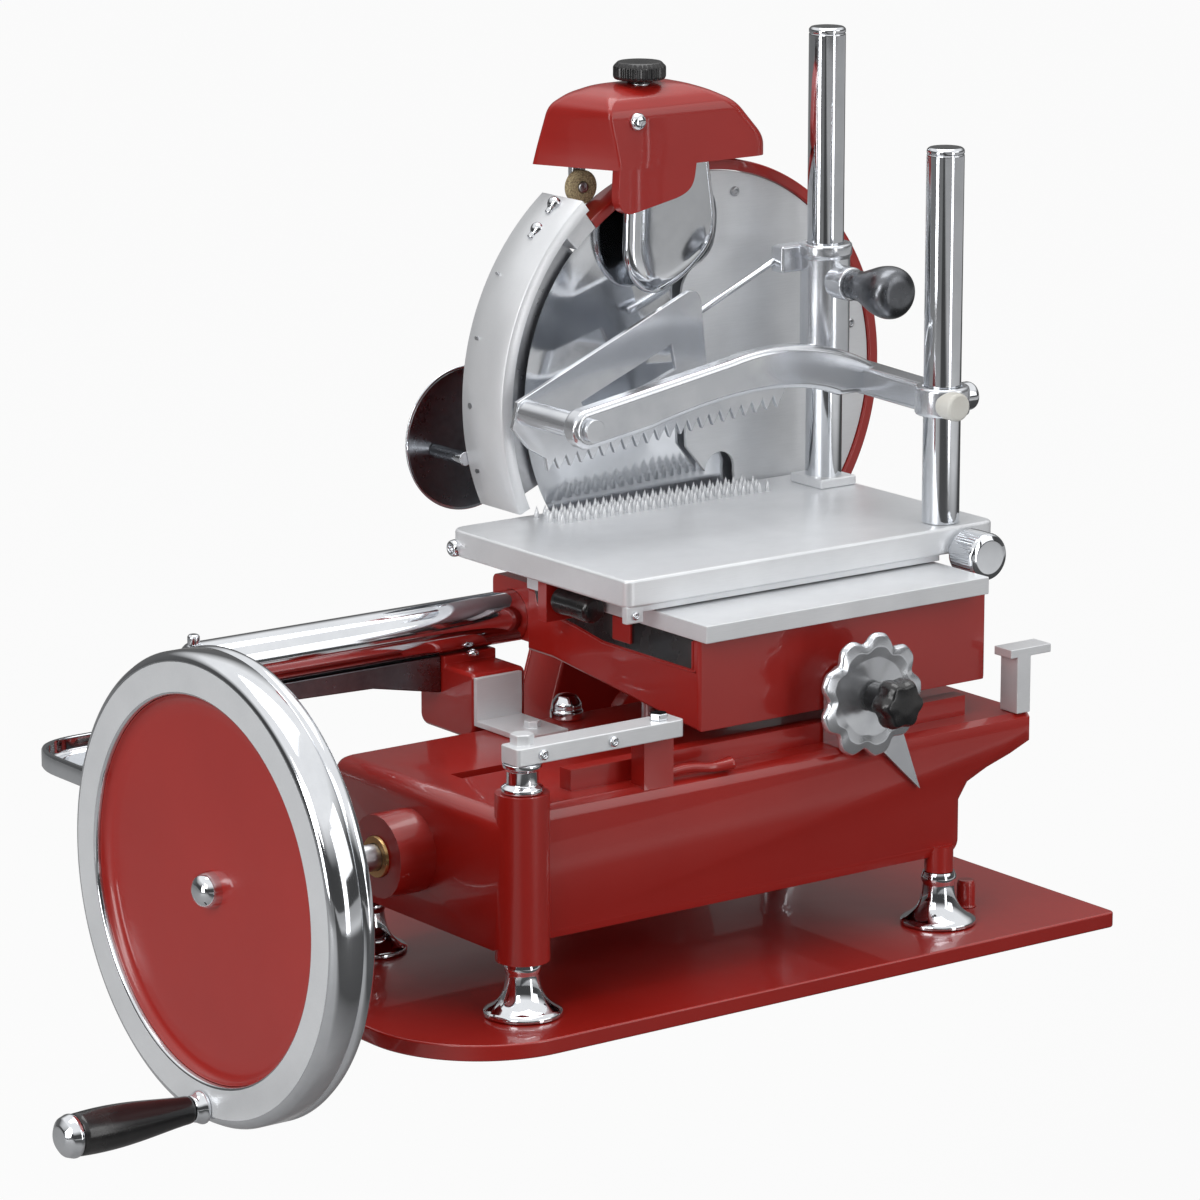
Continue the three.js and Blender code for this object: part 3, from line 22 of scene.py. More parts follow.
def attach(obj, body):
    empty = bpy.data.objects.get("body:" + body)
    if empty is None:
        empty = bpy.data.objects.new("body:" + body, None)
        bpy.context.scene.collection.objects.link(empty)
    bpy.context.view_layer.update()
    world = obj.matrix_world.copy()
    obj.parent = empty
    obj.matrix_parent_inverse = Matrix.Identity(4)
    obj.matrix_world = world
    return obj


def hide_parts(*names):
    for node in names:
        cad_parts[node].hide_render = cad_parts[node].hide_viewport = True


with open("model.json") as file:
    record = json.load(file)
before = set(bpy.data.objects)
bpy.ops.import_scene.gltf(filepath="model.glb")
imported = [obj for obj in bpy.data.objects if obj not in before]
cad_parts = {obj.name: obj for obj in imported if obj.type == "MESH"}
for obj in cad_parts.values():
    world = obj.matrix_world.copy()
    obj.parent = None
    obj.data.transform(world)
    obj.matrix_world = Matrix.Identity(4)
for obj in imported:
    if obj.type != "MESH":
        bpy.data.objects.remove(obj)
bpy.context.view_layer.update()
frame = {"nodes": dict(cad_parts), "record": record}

BODIES = frame["record"]["behaviour"]["bodies"]
BODY_OF_NODE = {node: body for body, nodes in BODIES.items() for node in nodes}

MM = 0.001
TAU = 2.0 * math.pi
BEVEL_FROM_DEG = 32.0
FLAT_WITHIN_DEG = 0.6
END_ROUND = 0.5
log = logging.getLogger("slicer")

Point = tuple[float, float, float]
Colour = tuple[float, float, float]


class Axis(Enum):
    """The direction that a turned or extruded piece runs along."""

    X = 0
    Y = 1
    Z = 2

    @property
    def others(self) -> tuple[int, int]:
        """The numbers of the two other axes."""
        first, second = (number for number in range(3) if number != self.value)
        return first, second


# Shader values


@dataclass(frozen=True)
class Signal:
    """One value in a shader, on an output socket. Operators on it add Math nodes."""

    graph: "Graph"
    socket: bpy.types.NodeSocket

    def _math(self, operation: str, left: "Value", right: "Value") -> "Signal":
        """Adds one Math node.

        Args:
            operation: Blender's name of the operation.
            left: First value.
            right: Second value.

        Returns:
            The node's result.
        """
        made = self.graph.node("ShaderNodeMath", {"operation": operation}, {0: left, 1: right})
        return self.graph.result(made)

    def __add__(self, other: "Value") -> "Signal":
        """Adds."""
        return self._math("ADD", self, other)

    __radd__ = __add__

    def __sub__(self, other: "Value") -> "Signal":
        """Subtracts a value from this one."""
        return self._math("SUBTRACT", self, other)

    def __rsub__(self, other: "Value") -> "Signal":
        """Subtracts this one from a value."""
        return self._math("SUBTRACT", other, self)

    def __mul__(self, other: "Value") -> "Signal":
        """Multiplies."""
        return self._math("MULTIPLY", self, other)

    __rmul__ = __mul__

    def over(self, low: float, high: float) -> "Signal":
        """Goes from 0 at low to 1 at high, and stays there.

        Args:
            low: Where the result starts to rise.
            high: Where the result is 1.

        Returns:
            The mask.
        """
        values = {0: self, 1: low, 2: high, 3: 0.0, 4: 1.0}
        return self.graph.result(self.graph.node("ShaderNodeMapRange", {"clamp": True}, values))


Value = Union[Signal, float, int]


class Graph:
    """The nodes of one material or world."""

    def __init__(self, owner: Union[bpy.types.Material, bpy.types.World], output: str) -> None:
        """Empties the owner's nodes and adds the output.

        Args:
            owner: The material or world.
            output: Type of the output node.
        """
        owner.use_nodes = True
        self.owner = owner
        self.tree = owner.node_tree
        self.tree.nodes.clear()
        self.output = self.tree.nodes.new(output)

    def feed(self, socket: bpy.types.NodeSocket, value: object) -> None:
        """Links or sets one input.

        Args:
            socket: The input.
            value: A Signal, a socket, a number or a colour.
        """
        if isinstance(value, Signal):
            value = value.socket
        if isinstance(value, bpy.types.NodeSocket):
            self.tree.links.new(value, socket)
        elif isinstance(value, tuple) and len(value) == 3 and len(socket.default_value) == 4:
            socket.default_value = (*value, 1.0)
        else:
            socket.default_value = value

    def node(self, kind: str, settings: dict, values: dict) -> bpy.types.Node:
        """Adds a node.

        Args:
            kind: Blender's node type.
            settings: Properties that are set first.
            values: Input name or number to its value or link.

        Returns:
            The node.
        """
        made = self.tree.nodes.new(kind)
        for key, value in settings.items():
            setattr(made, key, value)
        for key, value in values.items():
            self.feed(made.inputs[key], value)
        return made

    def result(self, node: bpy.types.Node, output: Union[int, str] = 0) -> Signal:
        """One output of a node as a value.

        Args:
            node: The node.
            output: The output's name or number.

        Returns:
            The value.
        """
        return Signal(self, node.outputs[output])

    def mix(self, mask: Value, low: object, high: object) -> bpy.types.NodeSocket:
        """Mixes two colours.

        Args:
            mask: 0 gives low, 1 gives high.
            low: First colour.
            high: Second colour.

        Returns:
            The mixed colour's socket.
        """
        made = self.node("ShaderNodeMix", {"data_type": "RGBA"}, {0: mask, 6: low, 7: high})
        return made.outputs[2]


class Paint(Graph):
    """A material with one Principled shader."""

    def __init__(self, name: str) -> None:
        """Makes the material.

        Args:
            name: The material's name.
        """
        super().__init__(bpy.data.materials.new(name), "ShaderNodeOutputMaterial")
        self.place = self.node("ShaderNodeTexCoord", {}, {}).outputs["Object"]
        self.shader = self.node("ShaderNodeBsdfPrincipled", {}, {})
        self.feed(self.output.inputs[0], self.shader.outputs[0])

    def noise(self, scale: float, detail: float, stretch: Point = (1, 1, 1)) -> Signal:
        """Noise in object space.

        Args:
            scale: Cells per metre.
            detail: Octaves.
            stretch: How much finer the noise is along each axis.

        Returns:
            A value about 0.5.
        """
        mapped = self.node("ShaderNodeMapping", {}, {"Vector": self.place, "Scale": stretch})
        values = {"Vector": mapped.outputs[0], "Scale": scale, "Detail": detail}
        return self.result(self.node("ShaderNodeTexNoise", {}, values))

    def cells(self, scale: float) -> Signal:
        """Distance to the nearest of scattered points, for grains.

        Args:
            scale: Points per metre.

        Returns:
            The distance in cells.
        """
        values = {"Vector": self.place, "Scale": scale}
        return self.result(self.node("ShaderNodeTexVoronoi", {}, values))

    def bump(self, height: Signal, depth_mm: float, strength: float) -> None:
        """Feeds the shader's normal from a height.

        Args:
            height: The height, about 0 to 1.
            depth_mm: What 1 stands for.
            strength: Blender's bump strength.
        """
        values = {"Height": height, "Distance": depth_mm * MM, "Strength": strength}
        made = self.node("ShaderNodeBump", {}, values)
        self.feed(self.shader.inputs["Normal"], made.outputs[0])

    def set(self, **values: object) -> None:
        """Sets the shader's inputs.

        Args:
            values: Input name, with _ for a space, to its value or link.
        """
        for key, value in values.items():
            self.feed(self.shader.inputs[key.replace("_", " ")], value)


# Finishes


@dataclass(frozen=True)
class GlossPaint:
    """Deep gloss enamel over a casting: orange peel, soft smudges and a clear coat."""

    slot: str = "gloss_red_paint"
    colour: Colour = (0.37, 0.014, 0.009)
    shade: Colour = (0.33, 0.011, 0.007)
    roughness: float = 0.3
    smudge: float = 0.05
    coat: float = 0.5
    coat_roughness: float = 0.04
    patches_per_metre: float = 9.0
    smudges_per_metre: float = 34.0
    specks_per_metre: float = 1900.0
    peel_per_metre: float = 240.0
    peel_mm: float = 0.012

    def make(self) -> bpy.types.Material:
        """Builds the material."""
        graph = Paint(self.slot)
        patch = graph.noise(self.patches_per_metre, 3.0)
        smudge = graph.noise(self.smudges_per_metre, 5.0)
        speck = graph.noise(self.specks_per_metre, 2.0)
        mottle = (patch + speck * 0.1 - 0.05).over(0.3, 0.75)
        graph.set(
            Base_Color=graph.mix(mottle, self.colour, self.shade),
            Roughness=smudge.over(0.35, 0.8) * self.smudge + self.roughness,
            Coat_Weight=self.coat,
            Coat_Roughness=self.coat_roughness,
        )
        graph.bump(graph.noise(self.peel_per_metre, 2.0), self.peel_mm, 0.35)
        return graph.owner


@dataclass(frozen=True)
class Metal:
    """A bare or plated metal with fine marks, smudges and slightly duller patches."""

    slot: str
    colour: Colour
    dull: Colour
    roughness: float
    spread: float
    marks: Point = (1.0, 1.0, 1.0)
    marks_per_metre: float = 220.0
    marks_mm: float = 0.012
    metallic: float = 1.0
    smudges_per_metre: float = 28.0

    def make(self) -> bpy.types.Material:
        """Builds the material."""
        graph = Paint(self.slot)
        fine = graph.noise(self.marks_per_metre, 4.0, self.marks)
        smudge = graph.noise(self.smudges_per_metre, 5.0)
        dulled = (smudge * 0.7 + fine * 0.3).over(0.35, 0.75)
        graph.set(
            Base_Color=graph.mix(dulled, self.colour, self.dull),
            Roughness=(fine * 0.5 + smudge * 0.5).over(0.3, 0.75) * self.spread + self.roughness,
            Metallic=self.metallic,
        )
        graph.bump(fine, self.marks_mm, 0.5)
        return graph.owner


@dataclass(frozen=True)
class Plastic:
    """A moulded knob or grip, faintly marked, with a soft shine."""

    slot: str
    colour: Colour
    worn: Colour
    roughness: float
    spread: float = 0.16
    coat: float = 0.25
    coat_roughness: float = 0.15
    patches_per_metre: float = 42.0
    grains_per_metre: float = 1400.0
    grain_mm: float = 0.03

    def make(self) -> bpy.types.Material:
        """Builds the material."""
        graph = Paint(self.slot)
        patch = graph.noise(self.patches_per_metre, 4.0)
        grain = graph.noise(self.grains_per_metre, 2.0)
        wear = (patch + grain * 0.2 - 0.1).over(0.45, 0.85)
        graph.set(
            Base_Color=graph.mix(wear, self.colour, self.worn),
            Roughness=patch.over(0.3, 0.8) * self.spread + self.roughness,
            Coat_Weight=self.coat,
            Coat_Roughness=self.coat_roughness,
        )
        graph.bump(grain, self.grain_mm, 0.4)
        return graph.owner


@dataclass(frozen=True)
class Abrasive:
    """Bonded abrasive grit: pale grains with dark pits."""

    slot: str = "abrasive_stone"
    colour: Colour = (0.52, 0.42, 0.24)
    pit: Colour = (0.22, 0.17, 0.1)
    roughness: float = 0.75
    spread: float = 0.15
    grains_per_metre: float = 900.0
    patches_per_metre: float = 60.0
    grain_mm: float = 0.25

    def make(self) -> bpy.types.Material:
        """Builds the material."""
        graph = Paint(self.slot)
        grain = graph.cells(self.grains_per_metre)
        patch = graph.noise(self.patches_per_metre, 4.0)
        pitted = (grain + patch * 0.4 - 0.2).over(0.25, 0.8)
        graph.set(
            Base_Color=graph.mix(pitted, self.colour, self.pit),
            Roughness=grain.over(0.0, 0.8) * self.spread + self.roughness,
        )
        graph.bump(grain, self.grain_mm, 0.6)
        return graph.owner


class Finish(Enum):
    """The finishes on the machine."""

    RED = GlossPaint()
    CHROME = Metal("polished_chrome", (0.80, 0.82, 0.85), (0.68, 0.70, 0.73), 0.05, 0.06,
                   (1.0, 1.0, 1.0), 120.0, 0.004)
    STEEL = Metal("machined_steel", (0.56, 0.57, 0.59), (0.40, 0.41, 0.43), 0.24, 0.16)
    CAST = Metal("cast_aluminium", (0.76, 0.78, 0.81), (0.60, 0.62, 0.66), 0.14, 0.12,
                 (1.0, 1.0, 1.0), 90.0, 0.006, 0.8)
    PLATE = Metal("plate_aluminium", (0.80, 0.815, 0.835), (0.70, 0.715, 0.735), 0.30, 0.12,
                  (0.05, 1.0, 1.0), 1500.0, 0.006, 0.35)
    BLACK = Plastic("black_plastic", (0.010, 0.010, 0.011), (0.035, 0.033, 0.032), 0.2)
    NYLON = Plastic("white_nylon", (0.72, 0.71, 0.66), (0.60, 0.58, 0.52), 0.4)
    BRONZE = Metal("bearing_bronze", (0.55, 0.36, 0.16), (0.40, 0.25, 0.11), 0.22, 0.2)
    BLACK_STEEL = Metal("black_steel", (0.20, 0.208, 0.224), (0.12, 0.125, 0.135), 0.22, 0.16)
    STONE = Abrasive()


MATERIALS: dict[Finish, bpy.types.Material] = {}


def material_of(finish: Finish) -> bpy.types.Material:
    """The finish's material, made once.

    Args:
        finish: The finish.

    Returns:
        Its material.
    """
    if finish not in MATERIALS:
        MATERIALS[finish] = finish.value.make()
    return MATERIALS[finish]


# Surfaces


@dataclass
class Surface:
    """Vertices in millimetres and the faces between them."""

    points: np.ndarray
    faces: list

    def stood_at(self, place: Point, degrees: float) -> "Surface":
        """The surface, drawn upright at the origin, leant over in XZ and moved to a place.

        Args:
            place: Where its origin goes.
            degrees: The angle of its upright, from X towards Z.

        Returns:
            The placed surface.
        """
        angle = math.radians(degrees - 90.0)
        turn = np.array([[math.cos(angle), 0, -math.sin(angle)], [0, 1, 0],
                         [math.sin(angle), 0, math.cos(angle)]])
        return Surface(self.points @ turn + np.array(place), self.faces)

    def mesh(self, name: str) -> bpy.types.Mesh:
        """The surface as a merged mesh in metres with its faces pointing outwards.

        Args:
            name: The mesh's name.

        Returns:
            The mesh.
        """
        made = bpy.data.meshes.new(name)
        made.from_pydata((self.points * MM).tolist(), [], self.faces)
        work = bmesh.new()
        work.from_mesh(made)
        bmesh.ops.remove_doubles(work, verts=work.verts, dist=1e-6)
        bmesh.ops.recalc_face_normals(work, faces=work.faces)
        work.to_mesh(made)
        work.free()
        return made


def grid_faces(rows: int, columns: int, wrap_rows: bool) -> list:
    """Quads over a grid of points that is stored row by row and whose rows are loops.

    Args:
        rows: Number of rows.
        columns: Points in a row.
        wrap_rows: Whether the last row joins the first.

    Returns:
        Lists of four point numbers.
    """
    down = np.arange(rows if wrap_rows else rows - 1)
    i, j = np.meshgrid(down, np.arange(columns), indexing="ij")
    i2 = (i + 1) % rows
    j2 = (j + 1) % columns
    quads = np.stack([i * columns + j, i * columns + j2, i2 * columns + j2, i2 * columns + j], -1)
    return quads.reshape(-1, 4).tolist()


def rounded(corners: Sequence[Sequence[float]], radius: Union[float, Sequence[float]],
            steps: int = 4, closed: bool = False) -> np.ndarray:
    """Rounds the corners of a line of points with quadratic curves.

    Each curve starts and ends radius away from its corner, or at 0.48 of a shorter side:
    start (1 - t)^2 + 2 corner t (1 - t) + end t^2. An open line keeps its two ends.

    Args:
        corners: Points of the line in order.
        radius: How far from a corner its curve starts, for all corners or for each.
        steps: Points in each curve, less one.
        closed: Whether the line is a loop.

    Returns:
        The rounded line as an array.
    """
    line = np.asarray(corners, float)
    reach = np.broadcast_to(np.asarray(radius, float), (len(line),)).reshape(-1, 1)
    back = np.roll(line, 1, axis=0) - line
    ahead = np.roll(line, -1, axis=0) - line
    start = line + back * np.minimum(reach / np.linalg.norm(back, axis=1, keepdims=True), 0.48)
    end = line + ahead * np.minimum(reach / np.linalg.norm(ahead, axis=1, keepdims=True), 0.48)
    t = np.linspace(0, 1, steps + 1)[None, :, None]
    curves = start[:, None] * (1 - t) ** 2 + 2 * line[:, None] * t * (1 - t) + end[:, None] * t ** 2
    if closed:
        return curves.reshape(-1, line.shape[1])
    return np.vstack([line[:1], curves[1:-1].reshape(-1, line.shape[1]), line[-1:]])


def bezier(a: Sequence[float], b: Sequence[float], c: Sequence[float], d: Sequence[float],
           steps: int) -> np.ndarray:
    """A cubic Bezier curve.

    Args:
        a: Where it starts.
        b: What its start heads for.
        c: What its end comes from.
        d: Where it ends.
        steps: Points, less one.

    Returns:
        The points.
    """
    t = np.linspace(0, 1, steps + 1)[:, None]
    first, second, third, last = (np.asarray(p, float) for p in (a, b, c, d))
    return (first * (1 - t) ** 3 + 3 * second * t * (1 - t) ** 2 + 3 * third * t ** 2 * (1 - t)
            + last * t ** 3)


def arc(centre: Sequence[float], radius: float, start_deg: float, end_deg: float,
        steps: int) -> np.ndarray:
    """Points of an arc in two coordinates.

    Args:
        centre: Its centre.
        radius: Its radius.
        start_deg: First angle.
        end_deg: Last angle.
        steps: Points, less one.

    Returns:
        The points.
    """
    angle = np.radians(np.linspace(start_deg, end_deg, steps + 1))
    return np.column_stack([centre[0] + radius * np.cos(angle), centre[1] + radius * np.sin(angle)])


def stacked(loops: np.ndarray) -> Surface:
    """A skin over closed loops of equal length, with flat ends.

    Args:
        loops: An array of loops by points by three coordinates.

    Returns:
        The surface.
    """
    rows, count = loops.shape[:2]
    faces = grid_faces(rows, count, False)
    last = rows * count
    faces += [list(range(count)), list(range(last - 1, last - count - 1, -1))]
    return Surface(loops.reshape(-1, 3), faces)


def arc_swept(section: Sequence[Sequence[float]], centre: Point, start_deg: float, end_deg: float,
              steps: int) -> Surface:
    """A closed section turned about a Y axis between two angles, with flat ends.

    The section's radius r and place y go to (centre x + r cos a, y, centre z + r sin a).

    Args:
        section: Rows of radius and place.
        centre: A point on the axis.
        start_deg: First angle.
        end_deg: Last angle.
        steps: Sections, less one.

    Returns:
        The surface.
    """
    rows = np.asarray(section, float)
    angle = np.radians(np.linspace(start_deg, end_deg, steps + 1))[:, None]
    place = np.repeat(rows[None, :, 1], steps + 1, axis=0)
    return stacked(np.stack([centre[0] + rows[None, :, 0] * np.cos(angle), place,
                             centre[2] + rows[None, :, 0] * np.sin(angle)], axis=-1))


def turned(profile: Sequence[Sequence[float]], axis: Axis, centre: Point, segments: int = 96,
           wave: Optional[Callable[[np.ndarray, np.ndarray], np.ndarray]] = None,
           closed: bool = False) -> Surface:
    """A surface of revolution.

    The point at angle a is the profile's radius times (cos a, sin a) about the axis, at the
    profile's place along it. A wave adds to the radius as a function of angle and profile row.

    Args:
        profile: Rows of radius and place.
        axis: The axis of turning.
        centre: The point on the axis that the places count from.
        segments: Points round the axis.
        wave: Extra radius from angle and row number.
        closed: Whether the profile's last row joins its first, as on a hollow ring.

    Returns:
        The surface.
    """
    rows = np.asarray(profile, float)
    angle = np.linspace(0, TAU, segments, endpoint=False)
    radius = np.repeat(rows[:, :1], segments, axis=1)
    if wave is not None:
        row = np.repeat(np.arange(len(rows))[:, None], segments, axis=1)
        radius = radius + wave(np.repeat(angle[None, :], len(rows), axis=0), row) * (radius > 1e-6)
    points = np.zeros((len(rows), segments, 3))
    first, second = axis.others
    points[..., axis.value] = centre[axis.value] + rows[:, 1:2]
    points[..., first] = centre[first] + radius * np.cos(angle)
    points[..., second] = centre[second] + radius * np.sin(angle)
    return Surface(points.reshape(-1, 3), grid_faces(len(rows), segments, closed))


def swept(path: Sequence[Point], half_width: Sequence[float], half_height: Sequence[float],
          side: Point, power: float, segments: int, rows: int) -> Surface:
    """A bar of rounded section along a smooth path.

    The path goes through its points as a Catmull-Rom curve. At each place the section is a
    superellipse, |x / w| ^ power + |z / h| ^ power = 1, with x along side and z across it. The
    section shrinks to a point at both ends along a quarter ellipse, whose length is END_ROUND
    of the half height there.

    Args:
        path: Points in millimetres.
        half_width: Half size along side, at each point.
        half_height: Half size across, at each point.
        side: Direction of the section's width.
        power: 2 is an ellipse, more is squarer.
        segments: Points round the section.
        rows: Sections along the path.

    Returns:
        The surface.
    """
    table = np.column_stack([np.asarray(path, float), half_width, half_height])
    padded = np.vstack([2 * table[0] - table[1], table, 2 * table[-1] - table[-2]])
    u = np.linspace(0, len(table) - 1, rows)
    k = np.minimum(u.astype(int), len(table) - 2)
    t = (u - k)[:, None]
    a, b, c, d = padded[k], padded[k + 1], padded[k + 2], padded[k + 3]
    spline = 0.5 * (2 * b + (c - a) * t + (2 * a - 5 * b + 4 * c - d) * t ** 2
                    + (3 * b - a - 3 * c + d) * t ** 3)
    centre, wide, high = spline[:, :3], spline[:, 3], spline[:, 4]
    length = np.concatenate([[0], np.cumsum(np.linalg.norm(np.diff(centre, axis=0), axis=1))])
    cap = np.linspace(0, 1, 6)[:-1]
    start = END_ROUND * high[0]
    end = END_ROUND * high[-1]
    along = np.concatenate([start * (1 - np.cos(cap * math.pi / 2)),
                            np.linspace(start, length[-1] - end, rows),
                            length[-1] - end * (1 - np.cos(cap[::-1] * math.pi / 2))])
    shrink = np.concatenate([np.sin(cap * math.pi / 2), np.ones(rows),
                             np.sin(cap[::-1] * math.pi / 2)])
    pick = [np.interp(along, length, column) for column in (*centre.T, wide, high)]
    spine = np.column_stack(pick[:3])
    tangent = np.gradient(spine, axis=0)
    tangent /= np.maximum(np.linalg.norm(tangent, axis=1, keepdims=True), 1e-9)
    across = np.asarray(side, float) - tangent * (tangent @ np.asarray(side, float))[:, None]
    across /= np.linalg.norm(across, axis=1, keepdims=True)
    upward = np.cross(tangent, across)
    angle = np.linspace(0, TAU, segments, endpoint=False)
    x = np.sign(np.cos(angle)) * np.abs(np.cos(angle)) ** (2 / power)
    z = np.sign(np.sin(angle)) * np.abs(np.sin(angle)) ** (2 / power)
    w = (pick[3] * shrink)[:, None, None]
    h = (pick[4] * shrink)[:, None, None]
    points = (spine[:, None] + across[:, None] * (w * x[None, :, None])
              + upward[:, None] * (h * z[None, :, None]))
    return Surface(points.reshape(-1, 3), grid_faces(len(spine), segments, False))


def slab(outline: Sequence[Sequence[float]], axis: Axis, low: float, high: float) -> Surface:
    """A flat plate: an outline in the two other axes, drawn out between two places on an axis.

    Args:
        outline: Points in order round the plate.
        axis: The axis that the plate's thickness lies along.
        low: One side of the plate.
        high: The other side.

    Returns:
        The surface.
    """
    flat = np.asarray(outline, float)
    first, second = axis.others
    points = np.zeros((2, len(flat), 3))
    points[..., first] = flat[:, 0]
    points[..., second] = flat[:, 1]
    points[0, :, axis.value] = low
    points[1, :, axis.value] = high
    return stacked(points)


def box(low: Point, high: Point) -> Surface:
    """A box.

    Args:
        low: Its lowest corner.
        high: The opposite corner.

    Returns:
        The surface.
    """
    outline = [(low[0], low[1]), (high[0], low[1]), (high[0], high[1]), (low[0], high[1])]
    return slab(outline, Axis.Z, low[2], high[2])


# Pieces


def piece(name: str, shape: Union[Surface, bpy.types.Mesh], finish: Finish, body: str,
          smooth_deg: float = 40.0, edge_mm: float = 0.0, replaces: Sequence[str] = ()) -> None:
    """Puts a shape into the scene as a finished piece.

    Args:
        name: The piece's name.
        shape: Its surface in millimetres, or its mesh in metres.
        finish: Its finish.
        body: The CAD body that it rides on.
        smooth_deg: Edges sharper than this stay sharp.
        edge_mm: Width of a rounded edge, or 0 for none.
        replaces: The CAD nodes that it stands for.
    """
    mesh = shape.mesh(name) if isinstance(shape, Surface) else shape
    mesh.shade_smooth()
    mesh.set_sharp_from_angle(angle=math.radians(smooth_deg))
    mesh.materials.clear()
    mesh.materials.append(material_of(finish))
    made = bpy.data.objects.new(name, mesh)
    bpy.context.scene.collection.objects.link(made)
    if edge_mm > 0:
        bevel = made.modifiers.new("edge", "BEVEL")
        bevel.width = edge_mm * MM
        bevel.segments = 3
        bevel.limit_method = "ANGLE"
        bevel.angle_limit = math.radians(BEVEL_FROM_DEG)
        bevel.harden_normals = True
    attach(made, body)
    # The record has no slot for nylon, which only the clamp's roller has
    if replaces:
        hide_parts(*replaces)
    log.info("%s on %s", name, body)


def skin(node: str, shape: Union[Surface, bpy.types.Mesh], finish: Finish, smooth_deg: float = 40.0,
         edge_mm: float = 0.0) -> None:
    """Puts a shape into the scene in place of one CAD node, on that node's body.

    Args:
        node: The CAD node, which the shape stands for.
        shape: Its surface in millimetres, or its mesh in metres.
        finish: Its finish.
        smooth_deg: Edges sharper than this stay sharp.
        edge_mm: Width of a rounded edge, or 0 for none.
    """
    piece(node + "_skin", shape, finish, BODY_OF_NODE[node], smooth_deg, edge_mm, (node,))


def refined(node: str, finish: Finish, edge_mm: float = 0.8, smooth_deg: float = 32.0) -> None:
    """Puts in a merged copy of a CAD node with flat faces joined and its edges rounded.

    Args:
        node: The CAD node, which the copy stands for.
        finish: Its finish.
        edge_mm: Width of the rounded edges.
        smooth_deg: Edges sharper than this stay sharp.
    """
    source = frame["nodes"][node]
    mesh = source.data.copy()
    mesh.transform(source.matrix_world)
    work = bmesh.new()
    work.from_mesh(mesh)
    bmesh.ops.remove_doubles(work, verts=work.verts, dist=2e-6)
    bmesh.ops.dissolve_limit(work, angle_limit=math.radians(FLAT_WITHIN_DEG), verts=work.verts,
                             edges=work.edges, delimit={"NORMAL"})
    work.to_mesh(mesh)
    work.free()
    skin(node, mesh, finish, smooth_deg, edge_mm)


def screw_head(name: str, place: Point, axis: Axis, outward: float, radius: float, finish: Finish,
               body: str) -> None:
    """Adds a round screw head with a socket in it.

    Args:
        name: The piece's name.
        place: The middle of its seat.
        axis: The screw's axis.
        outward: 1 or -1 along the axis.
        radius: The head's radius.
        finish: Its finish.
        body: The CAD body that it rides on.
    """
    high = 0.7 * radius
    socket = 0.42 * radius
    corners = [[0, 0.4 * high], [socket, 0.4 * high], [socket, high], [0.8 * radius, high],
               [radius, 0.55 * high], [radius, -0.4]]
    profile = rounded(corners, 0.25 * radius, 3)
    profile[:, 1] *= outward
    piece(name, turned(profile, axis, place, 28), finish, body, 50)


# Base


@dataclass
class Base:
    """The base plate and its four turned feet."""

    half_length: float = 280.5
    half_depth: float = 200.0
    thickness: float = 11.0
    corner: float = 85.0
    right_corner: float = 5.0
    foot_rows: tuple = (("front", -146.0), ("rear", 32.0))
    foot_columns: tuple = (("left", -184.0), ("right", 166.0))

    def build(self) -> None:
        """Builds the plate and the feet."""
        in_x = self.corner - self.half_length
        in_y = self.half_depth - self.corner
        right = self.half_length - self.right_corner
        back = self.half_depth - self.right_corner
        outline = np.vstack([
            arc((in_x, -in_y), self.corner, 180, 270, 28),
            arc((right, -back), self.right_corner, 270, 360, 5),
            arc((right, back), self.right_corner, 0, 90, 5),
            arc((in_x, in_y), self.corner, 90, 180, 28),
        ])
        plate = slab(outline, Axis.Z, 0, self.thickness)
        skin("base_plate", plate, Finish.RED, 40, 1.4)
        share = np.linspace(0, 1, 16)
        flare = np.column_stack([10.5 + 15.2 * np.exp(-3.4 * share), 3.4 + 24.0 * share])
        profile = np.vstack([[[0, 0.3], [24.8, 0.3], [26.0, 1.0], [26.0, 2.4]], flare,
                             [[11.0, 28.6], [12.2, 30.4], [12.2, 33.5], [10.8, 36.7], [0, 36.7]]])
        for row, y in self.foot_rows:
            for column, x in self.foot_columns:
                foot = turned(profile, Axis.Z, (x, y, self.thickness), 80)
                skin(f"foot_{row}_{column}", foot, Finish.CHROME, 50)


# Body casting


